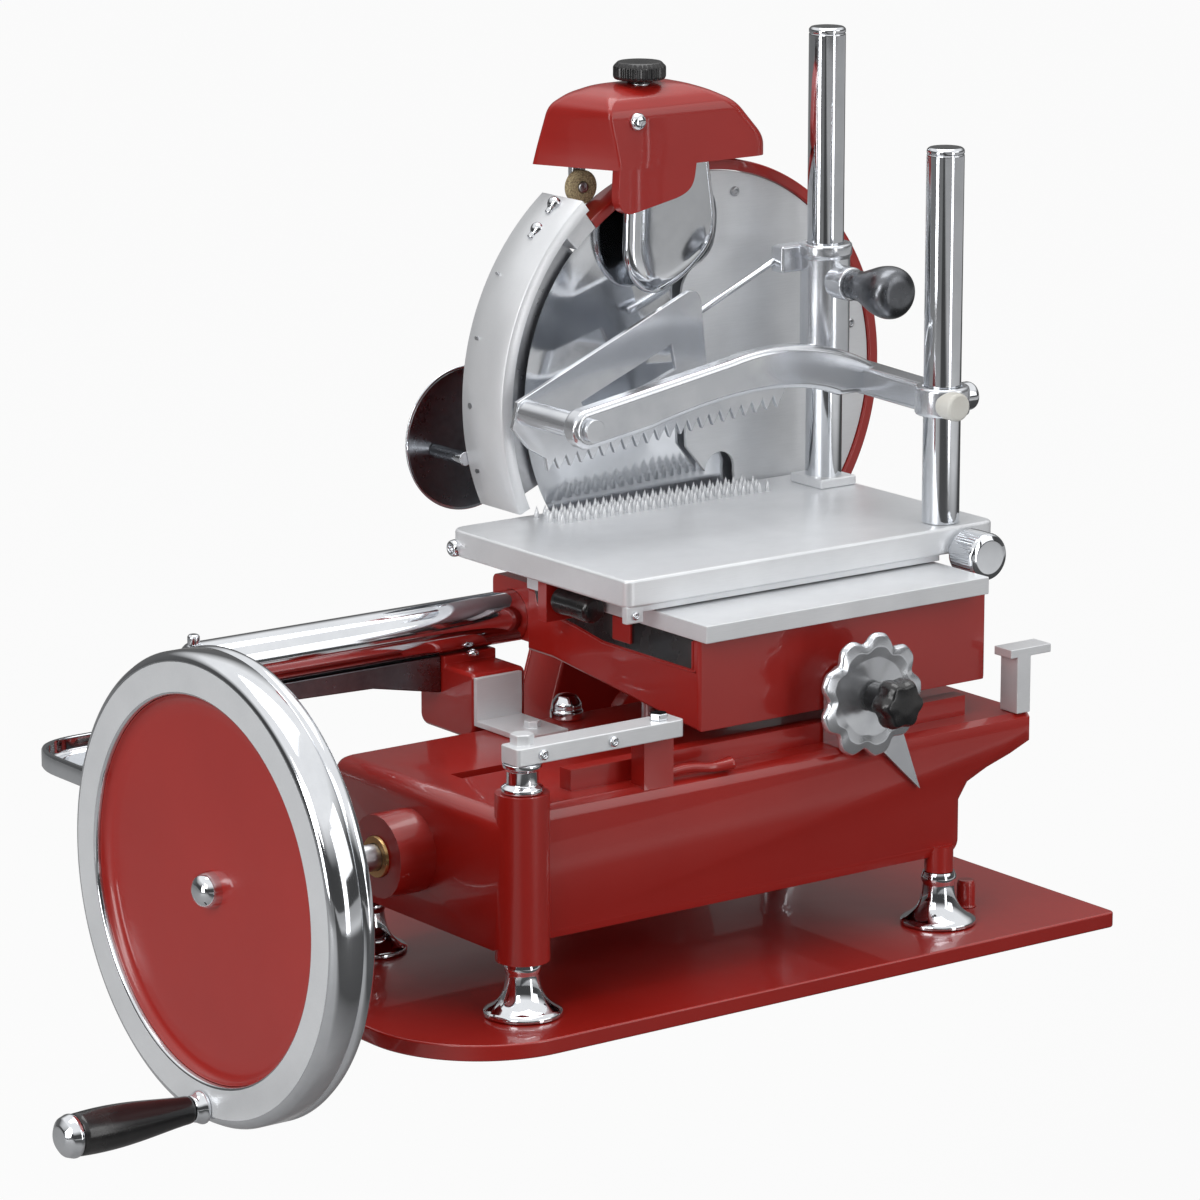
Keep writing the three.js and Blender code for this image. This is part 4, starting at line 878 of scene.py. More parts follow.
@dataclass
class BodyCasting:
    """The main casting, its stop bar, collar and bolts."""

    column: Point = (-184.0, -146.0, 0.0)

    def build(self) -> None:
        """Builds the casting and what is fixed to it."""
        refined("main_body", Finish.RED, 1.2, 38)
        refined("stop_bar", Finish.PLATE, 0.8)
        refined("right_stop_bracket", Finish.PLATE, 0.6)
        collar = rounded([[0, 160.3], [14, 160.3], [14, 163.5], [10.5, 166], [10.5, 175],
                          [13, 177.0], [13, 180], [0, 180]], 1.0)
        shape = turned(collar, Axis.Z, self.column)
        piece("collar_skin", shape, Finish.CHROME, "frame", 40, 0, ("column_collar",))
        hexagon = arc((-76, -148), 6.5, 0, 300, 5)
        piece("stop_bolt", slab(hexagon, Axis.Z, 192.0, 196.5), Finish.CHROME, "frame", 30, 0.6)
        for x in (-176.0, -120.0):
            screw_head(f"stop_screw_{abs(x):.0f}", (x, -158.0, 186.0), Axis.Y, -1, 3.6,
                       Finish.CHROME, "frame")
        self.build_latch()
        acorn = rounded([[0, 165.5], [7, 163.5], [10.4, 158], [10.4, 154], [11.5, 153],
                         [11.5, 147.2], [0, 147.2]], 1.6)
        nut = turned(acorn, Axis.Z, (-20.0, 30.0, 0.0), 48)
        piece("acorn_nut", nut, Finish.CHROME, "frame", 50)

    def build_latch(self) -> None:
        """Builds the small red latch on the casting's front edge and the stud on the plate."""
        path = [(-70.0, -140.0, 151.0), (-48.0, -141.0, 153.0), (-28.0, -143.0, 151.0),
                (-12.0, -146.0, 152.5)]
        bar = swept(path, [3.2, 3.4, 3.8, 6.0], [3.0, 3.2, 3.4, 4.6], (0.0, 1.0, 0.0), 2.4, 28, 40)
        piece("front_latch", bar, Finish.RED, "frame", 60)
        screw_head("front_latch_screw", (-66.0, -140.0, 153.5), Axis.Z, 1, 3.2, Finish.CHROME,
                   "frame")
        ferrule = rounded([[0, 30], [5.5, 30], [6.4, 27], [6.4, 12.5], [7.6, 11.1], [0, 11.1]], 1.0)
        stud = turned(ferrule, Axis.Z, (206.0, -128.0, 0.0), 40)
        piece("plate_ferrule", stud, Finish.RED, "frame", 60)


# Flywheel


@dataclass
class Flywheel:
    """Rim, dished disc, hub cap, shaft, bush, handle pin and grip.

    The centre lies in the wheel's outer face, which the places along X count from.
    """

    centre: Point = (-369.0, -50.0, 103.0)
    handle_radius: float = 144.0
    segments: int = 224

    def build(self) -> None:
        """Builds all pieces of the wheel."""
        self.build_rim()
        self.build_disc()
        self.build_shaft()
        self.build_handle()

    def build_rim(self) -> None:
        """Builds the rim: a flat satin face, a rounded edge, a plain side and a lip at the back."""
        profile = [[132.0, 5.4], [127.2, 4.6], [127.2, 1.4], [128.0, 0.4], [129.2, 0.0],
                   [148.6, 0.0], [150.6, 0.5], [153.4, 2.4], [155.0, 5.6], [155.0, 20.5],
                   [154.2, 22.0], [153.2, 23.0], [154.2, 24.2], [155.0, 25.4], [155.0, 28.6],
                   [153.6, 31.0], [136.0, 31.0], [133.0, 29.5], [132.0, 27.0]]
        rim = turned(profile, Axis.X, self.centre, self.segments, closed=True)
        skin("flywheel_rim", rim, Finish.CHROME, 50)
        band = [[129.0, 0.2], [129.0, -0.05], [148.4, -0.05], [148.4, 0.2]]
        satin = turned(band, Axis.X, self.centre, self.segments, closed=True)
        piece("flywheel_rim_face", satin, Finish.PLATE, "flywheel", 50)

    def build_disc(self) -> None:
        """Builds the disc: flat in the middle, turned up to the rim, with a long hub behind."""
        profile = [[0.0, 10.0], [60.0, 10.0], [114.0, 10.0], [121.0, 9.4], [125.2, 6.8],
                   [126.9, 3.0], [127.1, 6.4], [131.7, 6.8], [131.7, 24.0], [128.0, 20.0],
                   [120.0, 17.0], [44.0, 17.0], [34.0, 21.0], [29.0, 30.0], [26.0, 46.0],
                   [25.0, 64.0], [23.0, 69.0], [9.3, 69.0]]
        disc = turned(rounded(profile, 2.0), Axis.X, self.centre, self.segments)
        skin("flywheel_disc", disc, Finish.RED, 50)
        cap = [[0, -3.5], [5.4, -3.0], [9.8, -0.2], [11.8, 4.2], [12.4, 13.0], [0, 13.0]]
        skin("hub_cap", turned(rounded(cap, 2.0), Axis.X, self.centre, 64), Finish.CHROME, 60)

    def build_shaft(self) -> None:
        """Builds the shaft and the flanged bush that it runs in."""
        refined("main_shaft", Finish.STEEL, 0.3, 50)
        bush = [[9.35, 135], [13.6, 135], [14, 135.6], [14, 171], [9.35, 171]]
        skin("shaft_bush", turned(bush, Axis.X, self.centre, 72, closed=True), Finish.BRONZE)

    def build_handle(self) -> None:
        """Builds the pin with its collar and end cap, and the swelling grip."""
        place = (self.centre[0], self.centre[1], self.centre[2] - self.handle_radius)
        pin = [[0, 25], [5, 25], [5, -0.3], [11.0, -0.3], [11.4, -2.5], [9.5, -6.0], [8.6, -9.6],
               [5, -9.7], [5, -96.2], [13.9, -96.3], [14.6, -99], [12.8, -104.5], [8, -108],
               [0, -108.5]]
        skin("handle_pin", turned(rounded(pin, 1.2), Axis.X, place, 64), Finish.CHROME, 50)
        share = np.linspace(0, 1, 26)
        swell = 9.2 + 5.3 * np.sin(share * math.pi * 0.64) ** 1.3
        grip = np.column_stack([swell, -12.5 - 83.0 * share])
        profile = np.vstack([[[5.4, -10.0], [7.6, -10.0], [8.8, -10.8]], grip,
                             [[13.0, -96.0], [5.4, -96.0]]])
        skin("crank_grip", turned(profile, Axis.X, place, 64, closed=True), Finish.BLACK, 60)


# Rail


@dataclass
class Rail:
    """The round slide rail with its cap, bar, heads and brackets."""

    centre: Point = (0.0, 95.0, 207.0)
    left: float = -283.0
    right: float = 246.0

    def build(self) -> None:
        """Builds the rail and its supports."""
        profile = [[0, self.left], [15.5, self.left], [18, self.left + 3.5], [18, self.left + 6.6],
                   [17.3, self.left + 7.0], [18, self.left + 7.4], [18, self.right - 2],
                   [16, self.right], [0, self.right]]
        tube = turned(rounded(profile, 0.8), Axis.X, self.centre, 96)
        skin("rail_tube", tube, Finish.CHROME, 45)
        screw = rounded([[0, 230.8], [3.0, 230.8], [4.2, 229.4], [4.2, 224], [0, 224]], 0.8)
        shape = turned(screw, Axis.Z, (self.left + 4.1, 95, 0), 40)
        piece("rail_cap_screw", shape, Finish.CHROME, "frame")
        refined("rail_support_bar", Finish.BLACK_STEEL, 1.0)
        refined("rail_head", Finish.RED, 1.2)
        refined("left_rail_bracket", Finish.PLATE, 0.6)
        refined("right_rail_bracket", Finish.CAST, 0.6)
        screw_head("rail_head_screw", (-62.0, 82.0, 188.0), Axis.Z, 1, 4.5, Finish.CHROME, "frame")
        for z in (160.0, 174.0):
            screw_head(f"tower_screw_{z:.0f}", (246.0, z - 130.0, z), Axis.X, 1, 4.5, Finish.CHROME,
                       "frame")


# Carriage


@dataclass
class Carriage:
    """Carriage shell, slideway, rail bearing, drive lug, release grip and small fittings."""

    grip: Point = (-40.0, 0.0, 237.0)
    left: float = -25.0
    under_slideway: float = 232.6

    def build(self) -> None:
        """Builds the carriage."""
        refined("carriage_body", Finish.RED, 1.6)
        refined("carriage_slideway", Finish.PLATE, 0.7)
        refined("carriage_bearing", Finish.RED, 1.0)
        refined("drive_lug", Finish.STEEL, 0.6)
        grip = rounded([[0, -30], [7.5, -30], [9.3, -27.5], [9.5, -22], [8.9, -8], [9.5, 4],
                        [9.5, 8], [7.5, 10], [4, 10], [4, 32], [0, 32]], 1.2)
        skin("release_grip", turned(grip, Axis.Y, self.grip, 56), Finish.BLACK, 50)
        self.build_slot_with_painted_shade()

    def build_slot_with_painted_shade(self) -> None:
        """Builds the slot in the left end as a thin black sheet, painted shade for its dark inside,
        with a bead round it and a block in it.
        """
        top = self.under_slideway
        slot = rounded([[-118, top], [-118, 212], [-20, 212], [12, 217], [56, 222], [60, top]], 3.0)
        # Painted shade: a flat black sheet on the end face, not a cut, gives the slot its dark
        # inside
        shape = slab(slot, Axis.X, self.left - 0.4, self.left + 0.2)
        piece("carriage_slot_painted_shade", shape, Finish.BLACK, "carriage", 30)
        rim = slot + np.array([0.0, -1.6])
        path = [(self.left - 0.1, y, z) for y, z in rim]
        bead = swept(path, [0.9] * len(path), [0.9] * len(path), (1.0, 0.0, 0.0), 2.0, 10, 64)
        piece("carriage_slot_bead", bead, Finish.RED, "carriage", 60)
        shape = box((self.left - 2.5, -52, 216), (self.left, -32, top))
        piece("carriage_slot_block", shape, Finish.RED, "carriage", 30, 0.8)


# Meat table


@dataclass
class MeatTable:
    """The table with its spikes, skirt, posts and feed knob."""

    low: tuple = (-57.0, -88.0)
    high: tuple = (262.0, 117.0)
    bottom: float = 251.0
    top: float = 270.0
    spike_rows: int = 4
    spikes_per_row: int = 26
    spike_height: float = 8.5
    front_post: Point = (227.0, -70.0, 0.0)
    rear_post: Point = (242.0, 78.0, 0.0)
    screw: Point = (233.0, 0.0, 252.0)

    def build(self) -> None:
        """Builds the table and what stands on it."""
        (x0, y0), (x1, y1) = self.low, self.high
        outline = rounded([(x0, y0), (x1, y0), (x1, y1), (x0, y1)], [7, 10, 6, 14], 7, closed=True)
        skin("meat_table", slab(outline, Axis.Z, self.bottom, self.top), Finish.PLATE, 35, 2.2)
        for x in (-14.0, 190.0):
            way = box((x, y0 + 10, 245.7), (x + 20, 60, self.bottom + 1))
            piece(f"table_way_{x:.0f}", way, Finish.STEEL, "table", 30, 0.4)
        skirt = box((x0 + 14, y0 + 4, 246.6), (215.0, y0 + 8, self.bottom + 1))
        piece("table_skirt", skirt, Finish.PLATE, "table", 30, 0.4)
        tab = box((x0 + 1, y0 + 1.5, 240.0), (x0 + 15, y0 + 7, self.bottom + 1))
        piece("table_tab", tab, Finish.PLATE, "table", 30, 1.0)
        screw_head("table_tab_screw", (x0 + 8, y0 + 1.5, 245.5), Axis.Y, -1, 3.0, Finish.CHROME,
                   "table")
        screw_head("table_end_knob", (x0, y1 - 8, 257.0), Axis.X, -1, 6.0, Finish.CHROME, "table")
        self.build_spikes()
        for name, place, top in (("front_post", self.front_post, 531.0),
                                 ("rear_post", self.rear_post, 597.0)):
            post = rounded([[0, 265.3], [10, 265.3], [10, 270.3], [13, 270.3], [13, top - 5],
                            [12.3, top - 4.5], [13, top - 4.0], [13, top - 1.6], [11.4, top],
                            [0, top]], 0.7)
            skin(name, turned(post, Axis.Z, place, 96), Finish.CHROME, 45)
        foot = box((226.0, 60.0, 270.0), (258.0, 96.0, 277.0))
        piece("rear_post_foot", foot, Finish.PLATE, "table", 30, 1.5)
        self.build_feed_knob()

    def build_spikes(self) -> None:
        """Builds the rows of short pointed pins: cones about places on a staggered grid."""
        row, column = np.meshgrid(np.arange(self.spike_rows), np.arange(self.spikes_per_row),
                                  indexing="ij")
        x = 10.0 + 7.2 * column + 3.6 * (row % 2)
        y = 106.0 - 8.4 * row
        profile = [[2.0, 0], [1.5, 0.45 * self.spike_height], [0, self.spike_height]]
        cone = turned(profile, Axis.Z, (0, 0, 0), 7)
        middle = np.stack([x.ravel(), y.ravel(), np.full(x.size, self.top)], axis=-1)
        points = (middle[:, None] + cone.points[None]).reshape(-1, 3)
        step = len(cone.points)
        shift = step * np.arange(x.size)[:, None, None]
        faces = (np.array(cone.faces)[None] + shift).reshape(-1, 4)
        piece("table_spikes", Surface(points, faces.tolist()), Finish.PLATE, "table", 50)

    def build_feed_knob(self) -> None:
        """Builds the knurled feed knob with its long screw."""
        profile = rounded([[0, -116.3], [12, -116.3], [15.6, -115], [16.5, -113], [16.5, -93],
                           [15.4, -90.5], [12, -88.4], [5, -88.4], [5, 34], [0, 34]], 0.8)
        rows = np.flatnonzero((profile[:, 1] > -112.5) & (profile[:, 1] < -93.5))

        def knurl(angle: np.ndarray, row: np.ndarray) -> np.ndarray:
            """Fine ribs along the barrel."""
            return 0.25 * np.cos(48 * angle) * np.isin(row, rows)

        skin("feed_knob", turned(profile, Axis.Y, self.screw, 192, knurl), Finish.CHROME, 50)


# Dial


@dataclass
class Dial:
    """The scalloped thickness dial, its lock knob, bracket and pointer."""

    centre: Point = (95.0, 0.0, 184.0)
    lobes: int = 9

    def build(self) -> None:
        """Builds the dial group."""
        refined("dial_bracket", Finish.CAST, 0.8)
        profile = rounded([[6.35, -154.0], [38, -154.0], [42.6, -155.2], [43.0, -157.5],
                           [41.5, -160.0], [34, -161.0], [27, -160.0], [6.35, -159.4]], 0.8)

        def scallop(angle: np.ndarray, row: np.ndarray) -> np.ndarray:
            """Rounded lobes, deepest at the edge."""
            weight = np.clip((profile[row, 0] - 26.0) / 14.0, 0.0, 1.0)
            return -6.0 * weight * (0.5 - 0.5 * np.cos(self.lobes * angle)) ** 1.8

        dial = turned(profile, Axis.Y, self.centre, 216, scallop, closed=True)
        skin("thickness_dial", dial, Finish.CAST, 45)
        knob = rounded([[6.35, -161.3], [10.5, -161.3], [10.5, -175.5], [12.5, -177.4],
                        [16.8, -178.4], [18, -181], [17.6, -190], [15, -194.4], [6, -195.3],
                        [0, -195.3]], 1.5)

        def fingers(angle: np.ndarray, row: np.ndarray) -> np.ndarray:
            """Six finger lobes round the head."""
            return -2.4 * (0.5 - 0.5 * np.cos(6 * angle)) * (knob[row, 0] > 12)

        skin("dial_knob", turned(knob, Axis.Y, self.centre, 144, fingers), Finish.BLACK, 60)


# Blade group


@dataclass
class BladeGroup:
    """The round blade, its ring, guard, cover plate and support."""

    centre: Point = (165.0, 0.0, 345.0)
    ring_inner: float = 152.0
    ring_outer: float = 160.0
    guard_radius: float = 180.0
    guard_top_deg: float = 128.0
    guard_foot_deg: float = 203.9
    low_wheel: tuple = (125.0, 103.0, 56.7)
    high_wheel: tuple = (165.0, 345.0, 24.5)

    def build(self) -> None:
        """Builds the blade group."""
        profile = [[10.3, 128.0], [58, 128.0], [62, 128.6], [96, 129.8], [128, 129.4], [143, 128.2],
                   [150, 127.0], [150, 127.4], [141, 132.2], [136, 133.0], [120, 134.0],
                   [10.3, 134.0]]
        blade = turned(profile, Axis.Y, self.centre, 256, closed=True)
        skin("blade", blade, Finish.CHROME, 25)
        refined("blade_shaft", Finish.STEEL, 0.4, 50)
        self.build_ring()
        self.build_guard()
        self.build_cover()
        self.build_case()
        refined("drive_chain", Finish.BLACK_STEEL, 0.2)
        refined("driving_sprocket", Finish.STEEL, 0.2)
        refined("blade_sprocket", Finish.STEEL, 0.2)

    def at(self, radius: float, degrees: float, y: float) -> Point:
        """A place about the blade's axis.

        Args:
            radius: Its distance from the axis.
            degrees: Its angle, from X towards Z.
            y: Its place along the axis.

        Returns:
            The point.
        """
        angle = math.radians(degrees)
        return (self.centre[0] + radius * math.cos(angle), y,
                self.centre[2] + radius * math.sin(angle))

    def build_ring(self) -> None:
        """Builds the painted ring round the blade and the lug that holds the sharpener."""
        section = rounded([(self.ring_inner, 119), (self.ring_outer, 119), (self.ring_outer, 141),
                           (self.ring_inner, 141)], 1.4, 3, closed=True)
        ring = arc_swept(section, self.centre, -92.0, self.guard_top_deg - 0.1, 176)
        skin("blade_ring", ring, Finish.RED, 50)
        lug = box((152, 138, 500), (178, 165, 506.7))
        piece("blade_ring_lug", lug, Finish.RED, "frame", 30, 1.2)

    def build_guard(self) -> None:
        """Builds the satin guard with its inner lip, tie, knobs and rivets."""
        outer = self.guard_radius
        section = [(outer - 9, 112), (outer - 0.8, 112), (outer, 112.8), (outer, 159.4),
                   (outer - 0.6, 160), (outer - 2.4, 160), (outer - 3, 159.4), (outer - 3, 116),
                   (outer - 4, 115), (outer - 9, 115)]
        band = arc_swept(section, self.centre, self.guard_top_deg, self.guard_foot_deg, 84)
        skin("blade_guard", band, Finish.PLATE, 50)
        lip = [(145.5, 131.4), (outer - 2, 131.4), (outer - 2, 133.0), (145.5, 133.0)]
        inner = arc_swept(lip, self.centre, self.guard_top_deg + 7.5, self.guard_foot_deg - 0.5, 76)
        piece("blade_guard_lip", inner, Finish.STEEL, "frame", 30, 0.5)
        tie = [(self.ring_inner + 1, 119), (outer - 2, 119), (outer - 2, 141),
               (self.ring_inner + 1, 141)]
        strip = arc_swept(tie, self.centre, self.guard_top_deg, self.guard_top_deg + 8, 8)
        piece("blade_guard_tie", strip, Finish.PLATE, "frame", 40, 1.0)
        knob = rounded([[0, 12.5], [4.2, 11.8], [5.6, 8.5], [4.6, 5.0], [2.8, 3.2], [2.8, -1.0],
                        [0, -1.0]], 1.2)
        for degrees in (133.0, 140.0):
            place = self.at(outer, degrees, 136.0)
            upright = turned(knob, Axis.Z, (0, 0, 0), 40).stood_at(place, degrees)
            piece(f"guard_knob_{degrees:.0f}", upright, Finish.CHROME, "frame", 60)
        rivet = [[0, 0.9], [1.6, 0.6], [2.2, -0.5], [0, -0.5]]
        for degrees in (150.0, 165.0, 180.0, 195.0):
            place = self.at(outer, degrees, 150.0)
            head = turned(rivet, Axis.Z, (0, 0, 0), 20).stood_at(place, degrees)
            piece(f"guard_rivet_{degrees:.0f}", head, Finish.STEEL, "frame", 60)

    def build_cover(self) -> None:
        """Builds the flat cover plate over the blade's middle and right, with its screws."""
        radius = self.ring_inner - 0.6
        top = self.centre[2] + radius - 8.4
        rim = arc((self.centre[0], self.centre[2]), radius, 95, -62, 110)
        foot = arc((182, 280), 13, -11, 180, 16)
        left = rounded([(152, 300), (147, top - 64), (174, top - 52), (179, top - 26),
                        (175, top - 6), (158, top)], 16, 8)
        outline = np.vstack([rim, [(206, 255), (196, 268)], foot, left])
        skin("cover_plate", slab(outline, Axis.Y, 121, 124), Finish.PLATE, 30, 0.5)
        for degrees in (78.0, 12.0, -38.0):
            screw_head(f"cover_screw_{degrees:.0f}", self.at(radius - 14, degrees, 121.0), Axis.Y,
                       -1, 3.6, Finish.STEEL, "frame")

    def loop(self, offset: float, y: float) -> np.ndarray:
        """The closed line round both chain wheels, offset outwards, at one place along Y.

        Args:
            offset: Distance outside the pitch radii.
            y: The place.

        Returns:
            The line's points.
        """
        (x0, z0, r0), (x1, z1, r1) = self.low_wheel, self.high_wheel
        lean = math.degrees(math.atan2(z1 - z0, x1 - x0))
        spread = math.degrees(math.acos((r0 - r1) / math.hypot(x1 - x0, z1 - z0)))
        flat = np.vstack([arc((x0, z0), r0 + offset, lean + spread, lean - spread + 360, 56),
                          arc((x1, z1), r1 + offset, lean - spread, lean + spread, 40)])
        return np.column_stack([flat[:, 0], np.full(len(flat), y), flat[:, 1]])

    def build_case(self) -> None:
        """Builds the chain case as an open cup, its hubs, foot and ring arm, and the lid."""
        rows = [(15.5, 146.0), (17.4, 146.5), (18.5, 148.6), (18.5, 183.4), (18.0, 184.0),
                (14.0, 184.0), (13.5, 183.4), (13.5, 152.0), (12.5, 151.0)]
        cup = stacked(np.stack([self.loop(offset, y) for offset, y in rows]))
        skin("blade_support", cup, Finish.RED, 50)
        foot = box((70, 146.2, 11.3), (180, 183.8, 60))
        piece("blade_support_foot", foot, Finish.RED, "frame", 30, 3.0)
        low = [[8.4, 46.3], [19.2, 46.3], [20, 47.2], [20, 138], [24, 146.5], [8.4, 146.5]]
        shape = turned(rounded(low, 1.5), Axis.Y, (125, 0, 103), 80)
        piece("blade_support_sleeve", shape, Finish.RED, "frame", 50)
        high = rounded([[10.4, 145], [23, 145], [24, 146], [24, 154], [10.4, 154]], 0.6)
        piece("blade_support_hub", turned(high, Axis.Y, self.centre, 80), Finish.RED, "frame", 50)
        shape = box((145, 143, 171), (177, 154, 205))
        piece("blade_support_web", shape, Finish.RED, "frame", 30, 1.5)
        shape = box((153, 134, 171), (177, 146, 184))
        piece("blade_support_seat", shape, Finish.RED, "frame", 30, 1.0)
        lid = np.stack([self.loop(17.6, 184.3), self.loop(18.5, 185.0), self.loop(18.5, 187.2),
                        self.loop(17.2, 188.3)])
        skin("chain_cover", stacked(lid), Finish.RED, 60)
        outline = self.loop(11.5, 188.3)
        for index in np.linspace(0, len(outline), 8, endpoint=False).astype(int):
            screw_head(f"chain_screw_{index}", tuple(outline[index]), Axis.Y, 1, 3.6, Finish.CHROME,
                       "frame")
        for name, (x, z, _), radius in (("low", self.low_wheel, 20.0),
                                        ("high", self.high_wheel, 14.0)):
            boss = rounded([[0, 191.3], [radius - 5, 191.3], [radius, 188.0], [0, 188.0]], 1.5)
            shape = turned(boss, Axis.Y, (x, 0, z), 64)
            piece(f"chain_boss_{name}", shape, Finish.RED, "frame", 60)


# Slice side


@dataclass
class SliceSide:
    """The polished dish and the tray behind the blade."""

    dish: Point = (12.4, 0.0, 312.2)
    strut: Point = (-11.6, 0.0, 305.2)

    def build(self) -> None:
        """Builds the dish and the tray."""
        profile = rounded([[0, 201], [20, 200], [44, 196.2], [51.5, 193.2], [52, 194.2], [45, 199],
                           [20, 204], [0, 205]], 0.8)
        skin("slice_deflector", turned(profile, Axis.Y, self.dish, 128), Finish.CHROME, 40)
        # Painted reflection: a thin dark metal skin over the polished dish's face gives it the dark
        # grey of a dark reflection, in place of the red that the chrome mirrors
        painted_reflection_profile = [[0, 200.6], [20, 199.6], [44, 195.8], [49.6, 193.6], [50.2, 194.2], [44, 196.6],
                  [20, 200.4], [0, 201.4]]
        shape = turned(painted_reflection_profile, Axis.Y, self.dish, 128, closed=True)
        piece("dish_painted_reflection", shape, Finish.BLACK_STEEL, "frame", 40)
        strut = rounded([[0, 160.3], [5, 160.3], [5, 198], [0, 198]], 0.5)
        piece("deflector_strut", turned(strut, Axis.Y, self.strut, 40), Finish.CHROME, "frame")
        rows = [(4, 110), (1, 110.5), (0, 112), (0, 122.6), (0.7, 124), (3.2, 124), (4, 122.6),
                (4, 116), (6, 113.4), (11, 113.0)]
        tray = stacked(np.stack([self.tray_loop(inset, z) for inset, z in rows]))
        skin("slice_tray", tray, Finish.CHROME, 50)
        shape = box((-196, 46.3, 102), (-176, 150, 111))
        piece("slice_tray_arm", shape, Finish.CHROME, "frame", 30, 1.5)

    def tray_loop(self, inset: float, z: float) -> np.ndarray:
        """The tray's rounded outline at one height.

        Args:
            inset: How far it is taken in.
            z: The height.

        Returns:
            The outline's points.
        """
        low, high = (-312 + inset, 140 + inset), (-168 - inset, 268 - inset)
        corners = [low, (high[0], low[1]), high, (low[0], high[1])]
        flat = rounded(corners, [44 - inset, 16 - 0.6 * inset, 16 - 0.6 * inset, 44 - inset], 12,
                       closed=True)
        return np.column_stack([flat, np.full(len(flat), z)])


# Clamp


@dataclass
class Clamp:
    """The cast clamp arm with its sleeve, crossbar, lock knob, presser and tie rod."""

    sleeve: Point = (242.0, 78.0, 0.0)
    front: Point = (227.0, -70.0, 0.0)
    arm_low: float = 12.0
    arm_high: float = 28.0
    knob: Point = (242.0, 0.0, 418.0)

    def build(self) -> None:
        """Builds the clamp."""
        self.build_sleeve()
        self.build_arm()
        self.build_knob()
        refined("presser_plate", Finish.CAST, 0.5, 35)

    def build_sleeve(self) -> None:
        """Builds the sleeve on the rear post and the crossbar to the front post."""
        sleeve = rounded([[13.35, 352], [19, 352], [19, 360], [17.6, 362], [17.6, 434], [19, 436],
                          [19, 444], [13.35, 444]], [0.3, 2, 1, 1, 1, 1, 2, 0.3], 3, closed=True)
        shape = turned(sleeve, Axis.Z, self.sleeve, 96, closed=True)
        piece("clamp_sleeve", shape, Finish.CAST, "clamp", 50, 0, ("clamp_arm",))
        cross = [(229, 76), (253, 76), (237, -62), (217, -62)]
        piece("clamp_crossbar", slab(cross, Axis.Z, 346, 366), Finish.CAST, "clamp", 35, 4.0)
        eye = rounded([[13.75, 346], [19, 346], [19, 366], [13.75, 366]], [0.3, 3, 3, 0.3], 4,
                      closed=True)
        shape = turned(eye, Axis.Z, self.front, 96, closed=True)
        piece("clamp_eye", shape, Finish.CAST, "clamp", 50)
        roller = rounded([[0, -96], [8.4, -96], [9.8, -94.4], [10, -88], [9.8, -81.6], [8.4, -80],
                          [0, -80]], 1.0)
        piece("clamp_roller", turned(roller, Axis.Y, (221, 0, 355), 64), Finish.NYLON, "clamp", 50)
        cap = rounded([[0, 239], [9, 239], [10, 241], [10, 251], [8.5, 253.6], [0, 254]], 1.4)
        piece("clamp_cap", turned(cap, Axis.X, (0, -70, 356), 64), Finish.CHROME, "clamp", 50)
        boss = rounded([[5.4, 47], [11.4, 47], [12, 48], [12, 64], [5.4, 64]], 0.6)
        piece("clamp_boss", turned(boss, Axis.Y, self.knob, 64), Finish.CAST, "clamp", 50)

    def build_arm(self) -> None:
        """Builds the arched arm to the presser's pin, the lug and the tie rod."""
        top = bezier((238, 366), (200, 389), (150, 393), (110, 384), 26)
        nose = arc((-12, 350), 14, 108, 270, 18)
        under = bezier((40, 344), (110, 362), (170, 364), (205, 348), 24)
        outline = np.vstack([top, nose, under, [(238, 348)]])
        shape = slab(outline, Axis.Y, self.arm_low, self.arm_high)
        piece("clamp_arch", shape, Finish.CAST, "clamp", 35, 4.5)
        piece("clamp_lug", box((208, 84, 424), (236, 97.4, 443)), Finish.CAST, "clamp", 30, 2.0)
        rod = [(216.0, 94.5, 434.9), (170.0, 94.5, 414.6), (128.0, 94.5, 396.0)]
        tie = swept(rod, [2.5] * 3, [2.5] * 3, (0.0, 1.0, 0.0), 2.0, 24, 12)
        piece("clamp_tie_rod", tie, Finish.CHROME, "clamp", 60)

    def build_knob(self) -> None:
        """Builds the bulb-shaped lock knob and its screw."""
        profile = rounded([[0, 63.7], [5, 63.7], [5, 46.7], [10, 46.7], [11, 41], [10.4, 36],
                           [13.5, 27], [17.6, 15], [19, 6], [17.4, -1.5], [12, -5.4], [0, -6.3]],
                          4.0, 6)
        skin("clamp_knob", turned(profile, Axis.Y, self.knob, 72), Finish.BLACK_STEEL, 60)


# Sharpener


